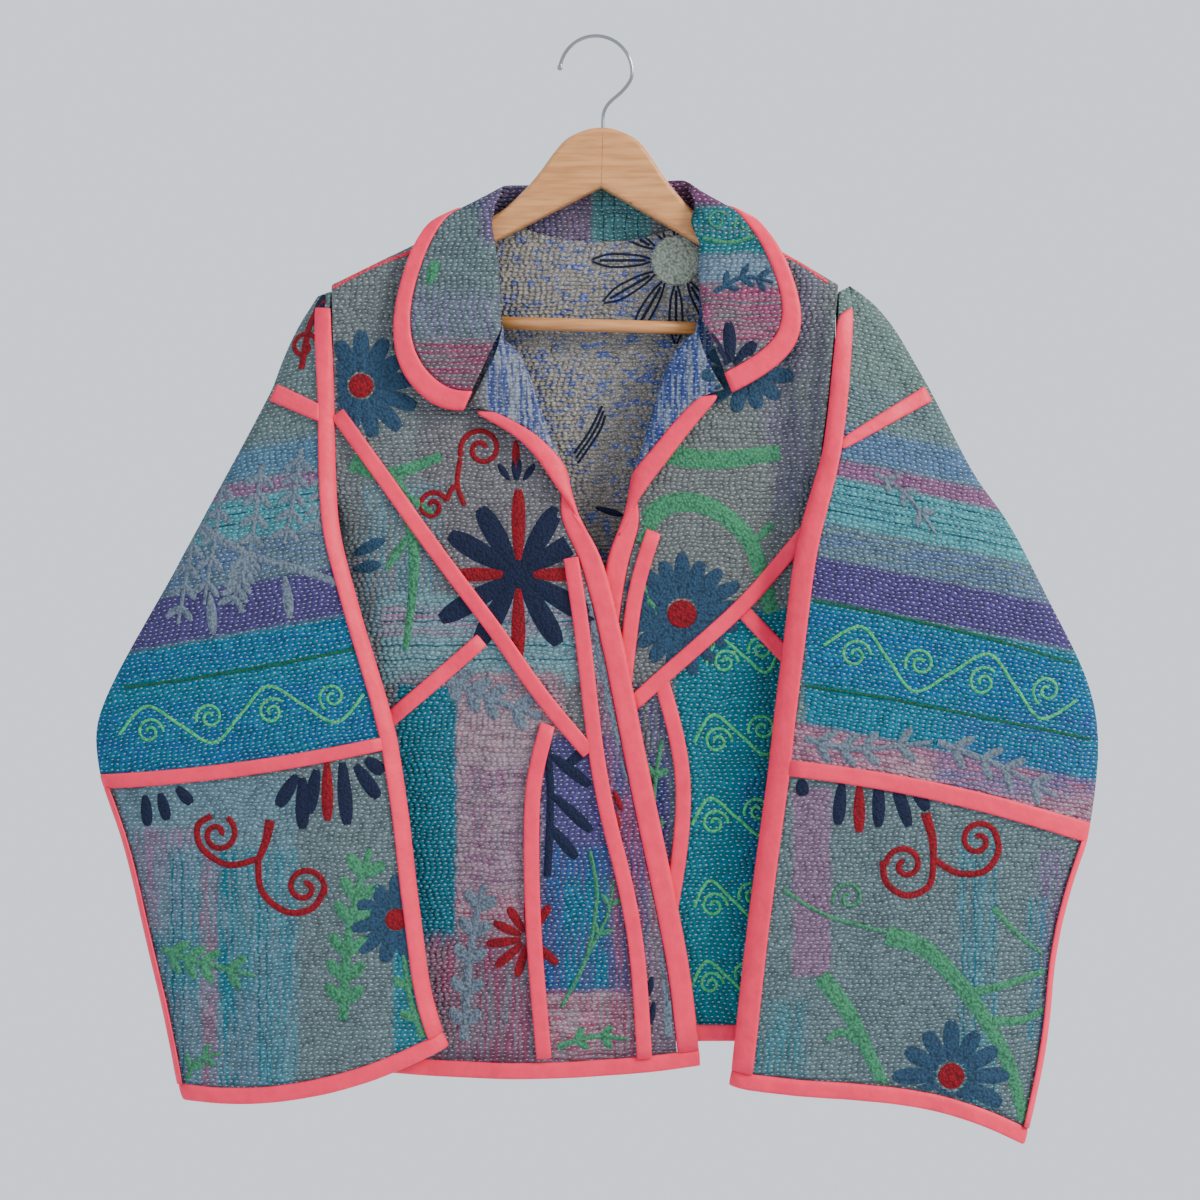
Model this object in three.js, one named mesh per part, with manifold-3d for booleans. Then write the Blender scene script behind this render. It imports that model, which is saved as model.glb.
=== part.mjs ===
// A quilted kantha jacket on a wooden hanger, in millimetres.
// X runs to the viewer's right, Y away from the viewer to the wall, Z up.
// The origin is the underside of the hook's top, where the hanger hangs. The tables count from
// HOOK_ORIGIN, which lies over the stem's side of the hook, level with the top of the wire.
import * as THREE from 'three';
import { mergeVertices } from 'three/addons/utils/BufferGeometryUtils.js';
import Module from 'manifold-3d';

const wasm = await Module();
wasm.setup();

// Cloth and binding
const WALL = 2.4;
const SEAM_GAP = 0.3;
const BAND_THICK = 4.2;
const EDGE_BAND = 16;
const HEM_BAND = 12;
const STRIP_WIDTH = 11;
const STRIP_THICK = 1.6;
const LAID_GAP = 0.3;
const SEAM_STRIP_GAP = 0.95;
const ROLL_GAP = 0.75;
const SLEEVE_BAND = { right: 12, left: 16 };

// Depth of the hanging body, from the seam line in the middle to each side
const BODY_DEPTH = 12;
const ROUND_RADIUS = 12;
const SEAM_SHIFT = 0.95;
const TWIN_REACH = 0.9;
const MAIN_STEPS = 60;
const SHOULDER = {
  right: { neckX: -86, neckZ: -138, slope: 0.488 },
  left: { neckX: 84, neckZ: -138, slope: -0.588 },
};
const NECK_DIP = 24;
const BACK_HEM = -783;

// Hanger
const HANGER_TILT = THREE.MathUtils.degToRad(1.6);
const WOOD = { thick: 14, bevel: 3, topZ: -74 };
const BAR = { radius: 5, z: -229, halfLength: 171, socket: 5.3 };
const HOOK = { radius: 28.5, wire: 1.6, arcX: -3, stemX: 2.5, ball: 2.4, stemDepth: 22 };
const HOOK_ORIGIN = new THREE.Vector3(-HOOK.arcX, 0, 2 * HOOK.wire);

const COLOURS = {
  frontRight: 0x9aa2a6,
  frontLeft: 0x4a9fae,
  back: 0x9c98a0,
  sleeveUpper: 0x5fa9bd,
  sleeveLower: 0x93a6ad,
  collar: 0x8fa0a2,
  binding: 0xf27688,
  wood: 0xd9a878,
  steel: 0xa9adb0,
};

// Rows of numbers as records, one for each row, with the named columns.
function tableOf(names, rows) {
  const keys = names.split(' ');
  return rows.map((row) => Object.fromEntries(keys.map((key, k) => [key, row[k]])));
}

// The right front: its side, the fold or inner line, and its edge, from the shoulder to the hem.
const RIGHT_FRONT = tableOf('sx sz cx cz ex ez lift turn sag', [
  [-209, -198, -98, -144, -87, -138.5, 0, 0, 0],
  [-208, -232, -95, -170, -85, -166, 0, 0, 0],
  [-207, -265, -92, -199, -82, -195, 0, 0, 0],
  [-206.5, -295, -84, -225, -76, -222, 0.5, 0, 0],
  [-206, -322, -64, -250, -80, -252, 7, 4, 0],
  [-206, -350, -55, -277, -93, -278, 8, 5, 0],
  [-205.5, -364, -49, -294, -101.5, -294, 8, 5, 0],
  [-205, -368, -48, -298, -98, -298, 8, 5, 0],
  [-204.5, -385, -43, -313, -70, -313, 8, 5, 0],
  [-203, -402, -35, -331, -50, -332, 8, 5, 0],
  [-204, -425, -27, -352, -34, -355, 7, 4, 0],
  [-205, -450, -21, -378, -17, -380, 3.5, 1, 0],
  [-207, -485, -16, -422, 5, -420, 0, 0, 2],
  [-210, -540, 0, -491, 21, -490, 0, 0, 3],
  [-213, -600, 14, -566, 35, -564, 0, 0, 5],
  [-216, -670, 30, -646, 52, -644, 0, 0, 7],
  [-219, -740, 49, -729, 70, -728, 0, 0, 9],
  [-221.5, -793, 55, -793, 76.5, -793, 0, 0, 11],
  [-222, -805, 55, -805, 77, -805, 0, 0, 11],
]);

const LEFT_FRONT = tableOf('sx sz cx cz ex ez lift turn sag', [
  [186, -198, 95, -144.5, 85, -138.6, 0, 0, 0],
  [182, -232, 88, -170, 78, -166, 0, 0, 0],
  [179, -265, 86, -198, 77, -194, 0, 0, 0],
  [176, -295, 85, -222, 78, -219, 0.5, 0, 0],
  [172.5, -320, 63, -243, 77, -243, 7, 4, 0],
  [170.5, -338, 53, -268, 87, -267, 8, 5, 0],
  [174, -352, 48, -284, 96.5, -281, 8, 5, 0],
  [175, -356, 47, -288, 93.5, -285, 8, 5, 0],
  [177, -372, 42, -304, 75, -306, 8, 5, 0],
  [178, -392, 35, -328, 55, -332, 8, 5, 0],
  [180, -418, 27, -351, 36, -357, 7, 4, 0],
  [182, -448, 23, -380, 19, -384, 3.5, 1, 0],
  [184, -480, 24, -424, 3, -421, 0, 0, 0],
  [188, -540, 15, -500, -6, -500, 0, 0, 0],
  [192, -610, 5, -600, -16, -600, 0, 0, 0],
  [196, -680, -1, -684, -22, -684, 0, 0, 0],
  [200, -740, -5, -744, -26, -744, 0, 0, 0],
  [202.5, -774, -7, -776, -28, -776, 0, 0, 0],
  [203, -786, -7, -788, -28, -788, 0, 0, 0],
]);

// Each sleeve's rings: i is where the front layer starts at the seam, o the outer fold,
// b where the back layer ends; front and back say how far each layer bulges.
const RIGHT_SLEEVE = tableOf('ix iz iy ox oz oy bx by front back sag skew', [
  [-209.5, -204, -11, -220, -207, -2, -209.5, 9, 1, 1, 0, 0],
  [-210.3, -232, -12, -234, -228, -1, -209.1, 11, 3, 2, 0, 0],
  [-209.5, -268, -12, -247, -256, -2, -208.2, 11, 5, 3, 0, 0],
  [-208.9, -303, -12.5, -256, -281, -4, -207.3, 11, 6, 3, 0, 0],
  [-208.2, -338, -13.5, -279, -326, -7, -206.7, 10, 7, 4, 0, 0],
  [-207, -360, -16, -296, -358, -10, -206.5, 5, 8, 4, 0, 0],
  [-205.5, -380, -20, -310, -385, -13, -206.8, -7, 9, 4, 0, 0],
  [-201.5, -402, -26, -323, -411, -17, -205, -18, 10, 4, 0, 0],
  [-194, -428, -30, -335, -434, -21, -195.5, -25.5, 11, 4, 0, 0],
  [-184, -465, -31, -354, -468, -24, -184.6, -27, 12, 5, 0, 0],
  [-168, -515, -31, -381, -518, -25, -168.6, -27, 12, 5, -2, 0],
  [-162, -538, -31, -390, -548, -25, -162.6, -27, 12, 5, -3, 0],
  [-158.5, -552, -31, -384, -584, -25, -159.1, -27, 12, 5, -5, 0],
  [-149, -612, -31, -367, -632, -25, -149.6, -27, 12, 5, -6, 0],
  [-145, -655, -31, -357, -675, -25, -145.6, -27, 12, 5, -8, 0],
  [-138, -705, -31, -347, -719, -25, -138.6, -27, 11, 5, -10, 0],
  [-133, -745, -31, -336, -764, -25, -133.6, -27, 11, 5, -13, 0],
  [-123, -777, -31, -326, -817, -25, -123.6, -27, 11, 5, -17, 0],
  [-118, -788, -31, -322, -829, -25, -118.6, -27, 11, 5, -17, 0],
]);

const LEFT_SLEEVE = tableOf('ix iz iy ox oz oy bx by front back sag skew', [
  [186.5, -204, -13, 195, -199, -2, 186.5, 9, 1, 1, 0, 0],
  [184.2, -232, -21, 212, -211, -2, 186.2, 11, 3, 2, 0, 0],
  [181.6, -265, -23, 228, -229, -3, 185.6, 11, 5, 3, 0, 0],
  [178.4, -300, -24, 243, -255, -4, 185, 11, 6, 3, 0, 0],
  [173.8, -332, -25.5, 258, -282, -6, 184.6, 10, 7, 4, 0, 0],
  [168, -352, -27, 276, -318, -9, 184.6, 5, 8, 4, 0, 0],
  [163, -368, -28, 292, -350, -12, 184.8, -7, 9, 4, 0, 0],
  [158, -385, -29, 310, -374, -15, 181, -18, 9, 4, 0, 0],
  [153.5, -404, -30, 324, -398, -18, 164, -24, 10, 4, 0, 0],
  [149, -433, -31, 341, -433, -21, 150.4, -27, 11, 4, 0, 0],
  [144.5, -473, -31, 361, -475, -24, 145.1, -27, 12, 5, 2, 0],
  [137.5, -525, -31, 388, -535, -25, 138.1, -27, 12, 5, 5, 0],
  [132.5, -572, -31, 377, -625, -25, 133.1, -27, 12, 5, 8, 0],
  [126, -620, -31, 367, -656, -25, 126.6, -27, 12, 5, 8, 0],
  [120, -665, -31, 356, -695, -25, 120.6, -27, 12, 5, 6, 3],
  [114, -712, -31, 349, -738, -25, 114.6, -27, 12, 5, 4, 6],
  [109, -757, -31, 346, -785, -25, 109.6, -27, 11, 5, 2, 10],
  [103.5, -806, -31, 331, -853, -25, 104.1, -27, 11, 5, 0, 15],
  [101.5, -818, -31, 328, -865, -25, 102.1, -27, 11, 5, 0, 15],
]);

// Row numbers in the sleeve tables where a seam runs round the sleeve
const HEAD_SEAM = { right: 3, left: 4 };
const ELBOW_SEAM = 12;
const CUFF_ROW = 17;
const HEAD_REACH = 0.17;
const ELBOW_REACH = 0.12;
const FOLD_INDEX = 30;
const FRONT_STEPS = 6;
const OUTER_REACH = 7;

// The collar round the neck: n is the neck seam, r the roll, e the outer edge.
const COLLAR = tableOf('nx ny nz rx ry rz ex ey ez', [
  [-84, -15.9, -236, -76, -19, -232, -106, -22.5, -297],
  [-86, -15.9, -224, -76, -19, -218, -124, -22.5, -295],
  [-88, -15.9, -206, -78, -19, -199, -143, -22.3, -281],
  [-90, -15.9, -190, -80, -19, -183, -156, -22, -260],
  [-91, -15.9, -177, -81, -19, -168, -160, -21.5, -233],
  [-91, -15.9, -167, -81, -17, -155, -156, -20.5, -205],
  [-91, -16.8, -155, -80, -14, -144, -149, -19, -181],
  [-90.5, -16.4, -144, -80, -11, -136, -142, -16.5, -165],
  [-90, -8.6, -136.4, -78, -6, -127, -133, -11, -152],
  [-89, 0, -135, -75, 0, -120, -121, 0, -145],
  [-88, 10.6, -137.6, -71, 6, -116, -113, 12.5, -150],
  [-83, 15.8, -149, -65, 10, -114, -103, 18, -168],
  [-48, 14.8, -164, -42, 14.5, -112, -60, 21, -188],
  [0, 14.8, -169, 0, 15.5, -111, 0, 22, -193],
  [48, 14.8, -164, 40, 14.5, -110, 60, 21, -188],
  [82, 15.8, -149, 61, 10, -111, 99, 18, -166],
  [87, 10.6, -137.6, 66, 6, -114, 107, 12.5, -150],
  [88, 0, -135, 69, 0, -118, 113, 0, -144],
  [88, -8.6, -136.6, 70, -6, -126, 122, -11, -149],
  [88, -16.5, -145, 71, -11, -136, 130, -16.5, -158],
  [88, -16.8, -156, 71.5, -14, -145, 138, -19, -169],
  [87, -15.9, -168, 72, -17, -156, 146, -20.5, -185],
  [86, -15.9, -178, 74, -19, -168, 153, -21.5, -206],
  [85, -15.9, -190, 76, -19, -181, 156, -22, -228],
  [85, -15.9, -203, 77, -19, -195, 150, -22.3, -249],
  [85.5, -15.9, -217, 78, -19, -209, 130, -22.5, -268],
  [86.5, -15.9, -229, 79, -19, -223, 103, -22.5, -283],
]);

// Bound seams laid on the fronts, as lines seen from the front
const FRONT_SEAMS = {
  right: {
    facing_seam: [[-21, -420], [-17, -443], [-11, -491], [-2, -569], [7, -616], [20, -665], [29, -717], [34, -791]],
    yoke_seam: [[-199, -306], [-165, -353], [-138, -392], [-106, -435], [-75, -475], [-48, -516], [-27, -541],
      [-14, -556]],
    cross_seam: [[-170, -543], [-122, -502], [-98, -481]],
    dart_seam: [[-43, -549], [-48, -564], [-52, -584], [-53, -617], [-53, -657], [-51, -706], [-48, -747],
      [-44, -791]],
  },
  left: {
    facing_seam: [[39, -399], [31, -420], [26, -450], [22, -480], [17, -530], [12, -600], [8, -680], [4, -766]],
    yoke_seam: [[29, -522], [66, -489], [109, -451], [138, -419], [160, -392]],
    cross_seam: [[119, -461], [150, -493]],
    dart_seam: [[51, -517], [56, -534], [62, -556], [66, -586], [64, -628], [60, -659], [52, -700], [44, -766]],
  },
};

// Soft folds of the hanging cloth, each a trough or ridge along a line; depth is forward in Y.
const FRONT_FOLDS = {
  right: [
    { x0: -150, z0: -260, x1: -128, z1: -560, width: 34, depth: 2.2 },
    { x0: -112, z0: -560, x1: -120, z1: -800, width: 30, depth: -2.2 },
    { x0: -70, z0: -600, x1: -78, z1: -810, width: 28, depth: 1.8 },
    { x0: -10, z0: -620, x1: 8, z1: -810, width: 26, depth: 1.4 },
  ],
  left: [
    { x0: 140, z0: -250, x1: 122, z1: -620, width: 30, depth: -2.4 },
    { x0: 106, z0: -480, x1: 92, z1: -780, width: 30, depth: 1.6 },
    { x0: 70, z0: -330, x1: 100, z1: -480, width: 32, depth: 1.4 },
  ],
};
const BACK_FOLDS = [
  { x0: -140, z0: -240, x1: -110, z1: -780, width: 34, depth: 3.0 },
  { x0: -60, z0: -300, x1: -40, z1: -780, width: 30, depth: -2.4 },
  { x0: 20, z0: -260, x1: 10, z1: -780, width: 36, depth: 2.6 },
  { x0: 100, z0: -280, x1: 78, z1: -780, width: 30, depth: -2.2 },
  { x0: 150, z0: -420, x1: 142, z1: -780, width: 26, depth: 2.4 },
];

function finish(colour, roughness = 0.9, metalness = 0) {
  return new THREE.MeshStandardMaterial({ color: colour, roughness, metalness });
}

function smooth(low, high, value) {
  const t = THREE.MathUtils.clamp((value - low) / (high - low), 0, 1);
  return t * t * (3 - 2 * t);
}

function spline(a, b, c, d, t) {
  const linear = (c - a) / 2;
  const next = (d - b) / 2;
  const cubic = 2 * b - 2 * c + linear + next;
  const square = -3 * b + 3 * c - 2 * linear - next;
  return ((cubic * t + square) * t + linear) * t + b;
}

// A row of a table at any place between its rows, each named column on a smooth curve.
function rowAt(table, place) {
  const last = table.length - 1;
  const index = Math.min(Math.floor(place), last - 1);
  const t = place - index;
  const before = table[Math.max(index - 1, 0)];
  const after = table[Math.min(index + 2, last)];
  const row = {};
  for (const key of Object.keys(table[0])) {
    row[key] = spline(before[key], table[index][key], table[index + 1][key], after[key], t);
  }
  return row;
}

function lengthsAlong(points) {
  const lengths = [0];
  for (let k = 1; k < points.length; k += 1) {
    lengths.push(lengths[k - 1] + points[k].distanceTo(points[k - 1]));
  }
  return lengths;
}

// The points of a line at given distances along it; past its end the line goes straight on.
function pointsAtDistances(points, distances) {
  const lengths = lengthsAlong(points);
  return distances.map((wanted) => {
    let k = 1;
    while (k < points.length - 1 && lengths[k] < wanted) {
      k += 1;
    }
    const t = (wanted - lengths[k - 1]) / (lengths[k] - lengths[k - 1]);
    return points[k - 1].clone().lerp(points[k], t);
  });
}

// The next point of a line one way, past a twin point just across a seam.
function neighbour(line, from, step) {
  let k = from;
  while (line[k + step] && line[k].distanceTo(line[from]) < TWIN_REACH) {
    k += step;
  }
  return line[k];
}

function gridNormals(grid) {
  return grid.map((line, i) => line.map((point, j) => {
    const column = grid.map((other) => other[j]);
    const down = neighbour(column, i, 1).clone().sub(neighbour(column, i, -1));
    const across = neighbour(line, j, 1).clone().sub(neighbour(line, j, -1));
    return across.cross(down).normalize();
  }));
}

function signedVolume(vertices, faces) {
  let total = 0;
  for (const [a, b, c] of faces) {
    total += vertices[a].dot(vertices[b].clone().cross(vertices[c]));
  }
  return total / 6;
}

function geometryOf(vertices, faces) {
  const geometry = new THREE.BufferGeometry();
  const outward = signedVolume(vertices, faces) > 0;
  const index = faces.flatMap(([a, b, c]) => (outward ? [a, b, c] : [a, c, b]));
  geometry.setAttribute('position', new THREE.Float32BufferAttribute(vertices.flatMap((v) => v.toArray()), 3));
  geometry.setIndex(index);
  return geometry;
}

// A closed wall over a grid of points, from one distance off it to another.
function wallOver(grid, from = -WALL / 2, to = WALL / 2, normals = gridNormals(grid)) {
  const rows = grid.length;
  const columns = grid[0].length;
  const vertices = [];
  for (const offset of [from, to]) {
    grid.forEach((line, i) => line.forEach((point, j) => {
      vertices.push(point.clone().addScaledVector(normals[i][j], offset));
    }));
  }
  const at = (side, i, j) => side * rows * columns + i * columns + j;
  const faces = [];
  const quad = (a, b, c, d) => faces.push([a, b, c], [a, c, d]);
  for (let i = 0; i < rows - 1; i += 1) {
    for (let j = 0; j < columns - 1; j += 1) {
      quad(at(0, i, j), at(0, i, j + 1), at(0, i + 1, j + 1), at(0, i + 1, j));
      quad(at(1, i, j), at(1, i + 1, j), at(1, i + 1, j + 1), at(1, i, j + 1));
    }
  }
  for (let i = 0; i < rows - 1; i += 1) {
    quad(at(0, i, 0), at(0, i + 1, 0), at(1, i + 1, 0), at(1, i, 0));
    quad(at(0, i, columns - 1), at(1, i, columns - 1), at(1, i + 1, columns - 1), at(0, i + 1, columns - 1));
  }
  for (let j = 0; j < columns - 1; j += 1) {
    quad(at(0, 0, j), at(1, 0, j), at(1, 0, j + 1), at(0, 0, j + 1));
    quad(at(0, rows - 1, j), at(0, rows - 1, j + 1), at(1, rows - 1, j + 1), at(1, rows - 1, j));
  }
  return geometryOf(vertices, faces);
}

// A wall from chosen rows and columns of a grid, on the normals of the whole grid.
function wallFrom(grid, rows, columns, from = -WALL / 2, to = WALL / 2) {
  const normals = gridNormals(grid);
  const pick = (source) => rows.map((i) => columns.map((j) => source[i][j]));
  return wallOver(pick(grid), from, to, pick(normals));
}

function bandFrom(grid, rows, columns) {
  return wallFrom(grid, rows, columns, -BAND_THICK / 2, BAND_THICK / 2);
}

// A binding laid over the outer face of chosen rows and columns of a sleeve's grid.
function laidOver(grid, rows, columns) {
  const outward = gridNormals(grid)[rows[0]][columns[0]].y < 0 ? 1 : -1;
  const base = outward * (WALL / 2 + LAID_GAP);
  const top = base + outward * STRIP_THICK;
  return wallFrom(grid, rows, columns, Math.min(base, top), Math.max(base, top));
}

function range(first, last) {
  return Array.from({ length: last - first + 1 }, (unused, k) => first + k);
}

// How far the folds in a list push the cloth forward at a place.
function foldDepth(folds, x, z) {
  let total = 0;
  for (const fold of folds) {
    const along = THREE.MathUtils.clamp((fold.z0 - z) / (fold.z0 - fold.z1), 0, 1);
    const centre = fold.x0 + (fold.x1 - fold.x0) * along;
    const fade = smooth(fold.z0 + 40, fold.z0 - 60, z) * smooth(fold.z1 - 60, fold.z1 + 20, z);
    const ends = z < fold.z1 ? 1 : fade;
    total += fold.depth * ends * Math.exp(-(((x - centre) / fold.width) ** 2));
  }
  return total;
}

function quarterRound(distance) {
  const t = THREE.MathUtils.clamp(distance / ROUND_RADIUS, 0, 1);
  return Math.sqrt(1 - (1 - t) ** 2);
}

function shoulderLine(side, x) {
  const { neckX, neckZ, slope } = SHOULDER[side];
  return neckZ + slope * (x - neckX);
}

// The side of the body at a height: the armhole above, the side seam below.
function bodySide(side, z) {
  if (side === 'right') {
    const upper = -209 + 3 * smooth(-200, -350, z);
    return upper + 3 * smooth(-350, -400, z) - 19 * THREE.MathUtils.clamp((-400 - z) / 405, 0, 1);
  }
  const upper = 186 - 2 * smooth(-200, -350, z);
  return upper - 6 * smooth(-350, -395, z) + 25 * THREE.MathUtils.clamp((-395 - z) / 390, 0, 1);
}

// The middle of a front's wall: Y at a place seen from the front.
function frontSurface(side, x, z) {
  const sign = side === 'right' ? -1 : 1;
  const top = quarterRound(shoulderLine(side, x) - z);
  const seam = smooth(-355, -400, z);
  const round = 1 - seam + seam * quarterRound(sign * (bodySide(side, z) - x));
  let depth = BODY_DEPTH;
  depth += foldDepth(FRONT_FOLDS[side], x, z) * smooth(0, 45, sign * (bodySide(side, z) - x));
  if (side === 'right') {
    depth += 6 * smooth(-110, -50, x) * smooth(-330, -420, z);
  } else {
    depth -= 1.5 * smooth(100, 50, x) * smooth(-330, -420, z);
    const edge = 184 - 0.085 * (-200 - z);
    depth += 11 * smooth(edge - 17, edge - 3, x) * smooth(-358, -338, z) * smooth(-196, -240, z);
  }
  return -SEAM_SHIFT - depth * top * round;
}

function backSurface(x, z) {
  const side = x < 0 ? 'right' : 'left';
  const sign = x < 0 ? -1 : 1;
  const neck = smooth(88, 66, Math.abs(x));
  const top = neck + (1 - neck) * quarterRound(shoulderLine(side, x) - z);
  const seam = smooth(-355, -400, z);
  const round = 1 - seam + seam * quarterRound(sign * (bodySide(side, z) - x));
  const away = smooth(0, 40, sign * (bodySide(side, z) - x));
  const depth = BODY_DEPTH - 1 + foldDepth(BACK_FOLDS, x, z) * away;
  return SEAM_SHIFT + depth * top * round;
}

// One row of a front, from the side seam to its edge, turned forward where the lapel rolls.
function frontSection(side, row) {
  const sign = side === 'right' ? 1 : -1;
  const points = [];
  for (let k = 0; k <= MAIN_STEPS; k += 1) {
    const t = (k / MAIN_STEPS) ** 1.5;
    const x = row.sx + (row.cx - row.sx) * t;
    const full = (x - row.sx) / (row.ex - row.sx);
    const z = row.sz + (row.cz - row.sz) * t - row.sag * 4 * full * (1 - full);
    points.push(new THREE.Vector3(x, frontSurface(side, x, z), z));
  }
  const start = points[points.length - 1];
  const endY = frontSurface(side, row.ex, row.ez) - row.lift;
  const end = new THREE.Vector3(row.ex, endY, row.ez);
  const first = start.clone().add(new THREE.Vector3(sign * row.turn, 0, 0));
  const second = new THREE.Vector3(start.x + sign * row.turn, endY, start.z);
  if (row.turn < 0.5) {
    first.lerpVectors(start, end, 1 / 3);
    second.lerpVectors(start, end, 2 / 3);
  }
  const roll = new THREE.CubicBezierCurve3(start, first, second, end);
  points.push(...roll.getPoints(24).slice(1));
  return points;
}

// Distances across a front: close at the side, even between, close round the roll, then the binding.
function frontDistances(total, rollStart, bound) {
  const edge = total - bound * (EDGE_BAND + ROLL_GAP);
  const near = [0, 1.5, 4, 8];
  const even = placesBetween(14, rollStart - 24, 5);
  const roll = ROLL_COLUMNS.map((distance) => rollStart + distance);
  const lapel = Math.max(edge, rollStart + ROLL_COLUMNS[ROLL_COLUMNS.length - 1]);
  const flap = [(roll[roll.length - 1] + lapel) / 2, lapel];
  const cloth = [...near, ...even, ...roll, ...flap];
  const kept = cloth.map((distance, k) => Math.min(distance, edge - (cloth.length - 1 - k) * CLOSEST));
  const band = placesBetween(ROLL_GAP, EDGE_BAND + ROLL_GAP, 3).map((distance) => edge + distance);
  return { all: [...kept, ...band], bandStart: kept.length };
}

// Where the rows of a front stand in its table: the cloth, then the hem's binding.
const CLOTH_PLACES = [0, 0.07, 0.2, 0.45, 1, 2, 3, 3.4, 4, 5, 6, 7, 8, 8.5, 9, 9.25, 9.5, 9.75, 10, 10.5, 11, 11.5,
  12, 13, 14, 15, 16, 16.992];
const HEM_PLACES = [17, 17.5, 18];
const BINDING_ROW = 7;

// Columns each side of where a lapel starts to roll, and the least step between columns
const ROLL_COLUMNS = [-14, -6, -1, 2.5, 5.5, 8.5, 13];
const CLOSEST = 2.4;

function frontPieces(side, table, colour) {
  let bandStart = 0;
  const grid = [...CLOTH_PLACES, ...HEM_PLACES].map((place) => {
    const section = frontSection(side, rowAt(table, place));
    const lengths = lengthsAlong(section);
    const bound = place < BINDING_ROW ? 0 : 1;
    const distances = frontDistances(lengths.pop(), lengths[MAIN_STEPS], bound);
    bandStart = distances.bandStart;
    return pointsAtDistances(section, distances.all);
  });
  const lastColumn = grid[0].length - 1;
  const clothEnd = CLOTH_PLACES.length - 1;
  const bindingRow = CLOTH_PLACES.indexOf(BINDING_ROW);
  const cloth = wallFrom(grid, range(0, clothEnd), range(0, bandStart - 1));
  const edge = bandFrom(grid, range(bindingRow, clothEnd), range(bandStart, lastColumn));
  const hemColumns = [...range(0, bandStart - 2), ...range(bandStart, lastColumn)];
  const hem = bandFrom(grid, range(clothEnd + 1, grid.length - 1), hemColumns);
  return [
    meshOf(`front_${side}`, cloth, finish(colour)),
    meshOf(`front_edge_binding_${side}`, edge, finish(COLOURS.binding, 0.6)),
    meshOf(`hem_binding_${side}`, hem, finish(COLOURS.binding, 0.6)),
  ];
}

// A bound seam laid on a front along a line, with square ends.
function seamStrip(side, line) {
  const curve = new THREE.CatmullRomCurve3(line.map(([x, z]) => new THREE.Vector3(x, 0, z)));
  const steps = Math.max(2, Math.round(curve.getLength() / 34));
  const grid = [];
  for (let k = 0; k <= steps; k += 1) {
    const centre = curve.getPointAt(k / steps);
    const tangent = curve.getTangentAt(k / steps);
    const across = new THREE.Vector3(tangent.z, 0, -tangent.x);
    grid.push([-0.5, 0, 0.5].map((offset) => {
      const point = centre.clone().addScaledVector(across, offset * STRIP_WIDTH);
      point.y = frontSurface(side, point.x, point.z);
      return point;
    }));
  }
  const normals = gridNormals(grid);
  const forward = normals[0][0].y < 0 ? 1 : -1;
  const base = forward * (WALL / 2 + SEAM_STRIP_GAP);
  const top = base + forward * STRIP_THICK;
  return wallOver(grid, Math.min(base, top), Math.max(base, top), normals);
}

function backTop(x) {
  const side = x < 0 ? 'right' : 'left';
  const reach = Math.abs(SHOULDER[side].neckX);
  if (Math.abs(x) >= reach) {
    return shoulderLine(side, x);
  }
  const t = Math.abs(x) / reach;
  return SHOULDER[side].neckZ - NECK_DIP * (1 - t ** 2.4);
}

function backGrid(heights) {
  const columns = 20;
  const rightTop = bodySide('right', -200);
  const leftTop = bodySide('left', -200);
  return heights.map((height) => {
    const line = [];
    for (let j = 0; j < columns; j += 1) {
      const even = (j / (columns - 1)) * 2 - 1;
      const across = 0.5 + 0.5 * Math.sign(even) * (1 - (1 - Math.abs(even)) ** 1.35);
      const topX = rightTop + (leftTop - rightTop) * across;
      const z = backTop(topX) + (BACK_HEM - backTop(topX)) * height;
      const x = bodySide('right', z) + (bodySide('left', z) - bodySide('right', z)) * across;
      line.push(new THREE.Vector3(x, backSurface(x, Math.min(z, backTop(x))), z));
    }
    return line;
  });
}

function backPieces() {
  const length = SHOULDER.right.neckZ - NECK_DIP - BACK_HEM;
  const hemStart = 1 - HEM_BAND / length;
  const shoulder = [0, 0.003, 0.008, 0.017, 0.03, 0.06];
  const below = placesBetween(0.12, hemStart - SEAM_GAP / length, 9);
  const clothRows = shoulder.length + below.length;
  const grid = backGrid([...shoulder, ...below, hemStart, (hemStart + 1) / 2, 1]);
  const columns = range(0, grid[0].length - 1);
  const hem = bandFrom(grid, range(clothRows, clothRows + 2), columns);
  return [
    meshOf('back_panel', wallFrom(grid, range(0, clothRows - 1), columns), finish(COLOURS.back)),
    meshOf('hem_binding_back', hem, finish(COLOURS.binding, 0.6)),
  ];
}

// The rounded swell of a sleeve's layer between its two edges.
function swell(t) {
  return Math.sqrt(Math.max(0, 1 - (2 * t - 1) ** 4));
}

function sleeveSection(row) {
  const points = [];
  const layer = (t, seamX, seamY, seamZ, bulge) => {
    const x = seamX + (row.ox - seamX) * t;
    const shape = row.sag * 4 * t * (1 - t) + row.skew * 6.75 * t * t * (1 - t);
    const z = seamZ + (row.oz - seamZ) * t + shape;
    const y = seamY + (row.oy - seamY) * t + bulge * swell(t);
    return new THREE.Vector3(x, y, z);
  };
  for (let k = 0; k <= FOLD_INDEX; k += 1) {
    const t = 0.5 - 0.5 * Math.cos((Math.PI * k) / FOLD_INDEX);
    points.push(layer(t, row.ix, row.iy, row.iz, -row.front));
  }
  for (let k = FOLD_INDEX - 1; k >= 0; k -= 1) {
    const t = 0.5 - 0.5 * Math.cos((Math.PI * k) / FOLD_INDEX);
    points.push(layer(t, row.bx, row.by, row.iz, row.back));
  }
  return points;
}

function placesBetween(first, last, steps) {
  return Array.from({ length: steps + 1 }, (unused, k) => first + ((last - first) * k) / steps);
}

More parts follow.
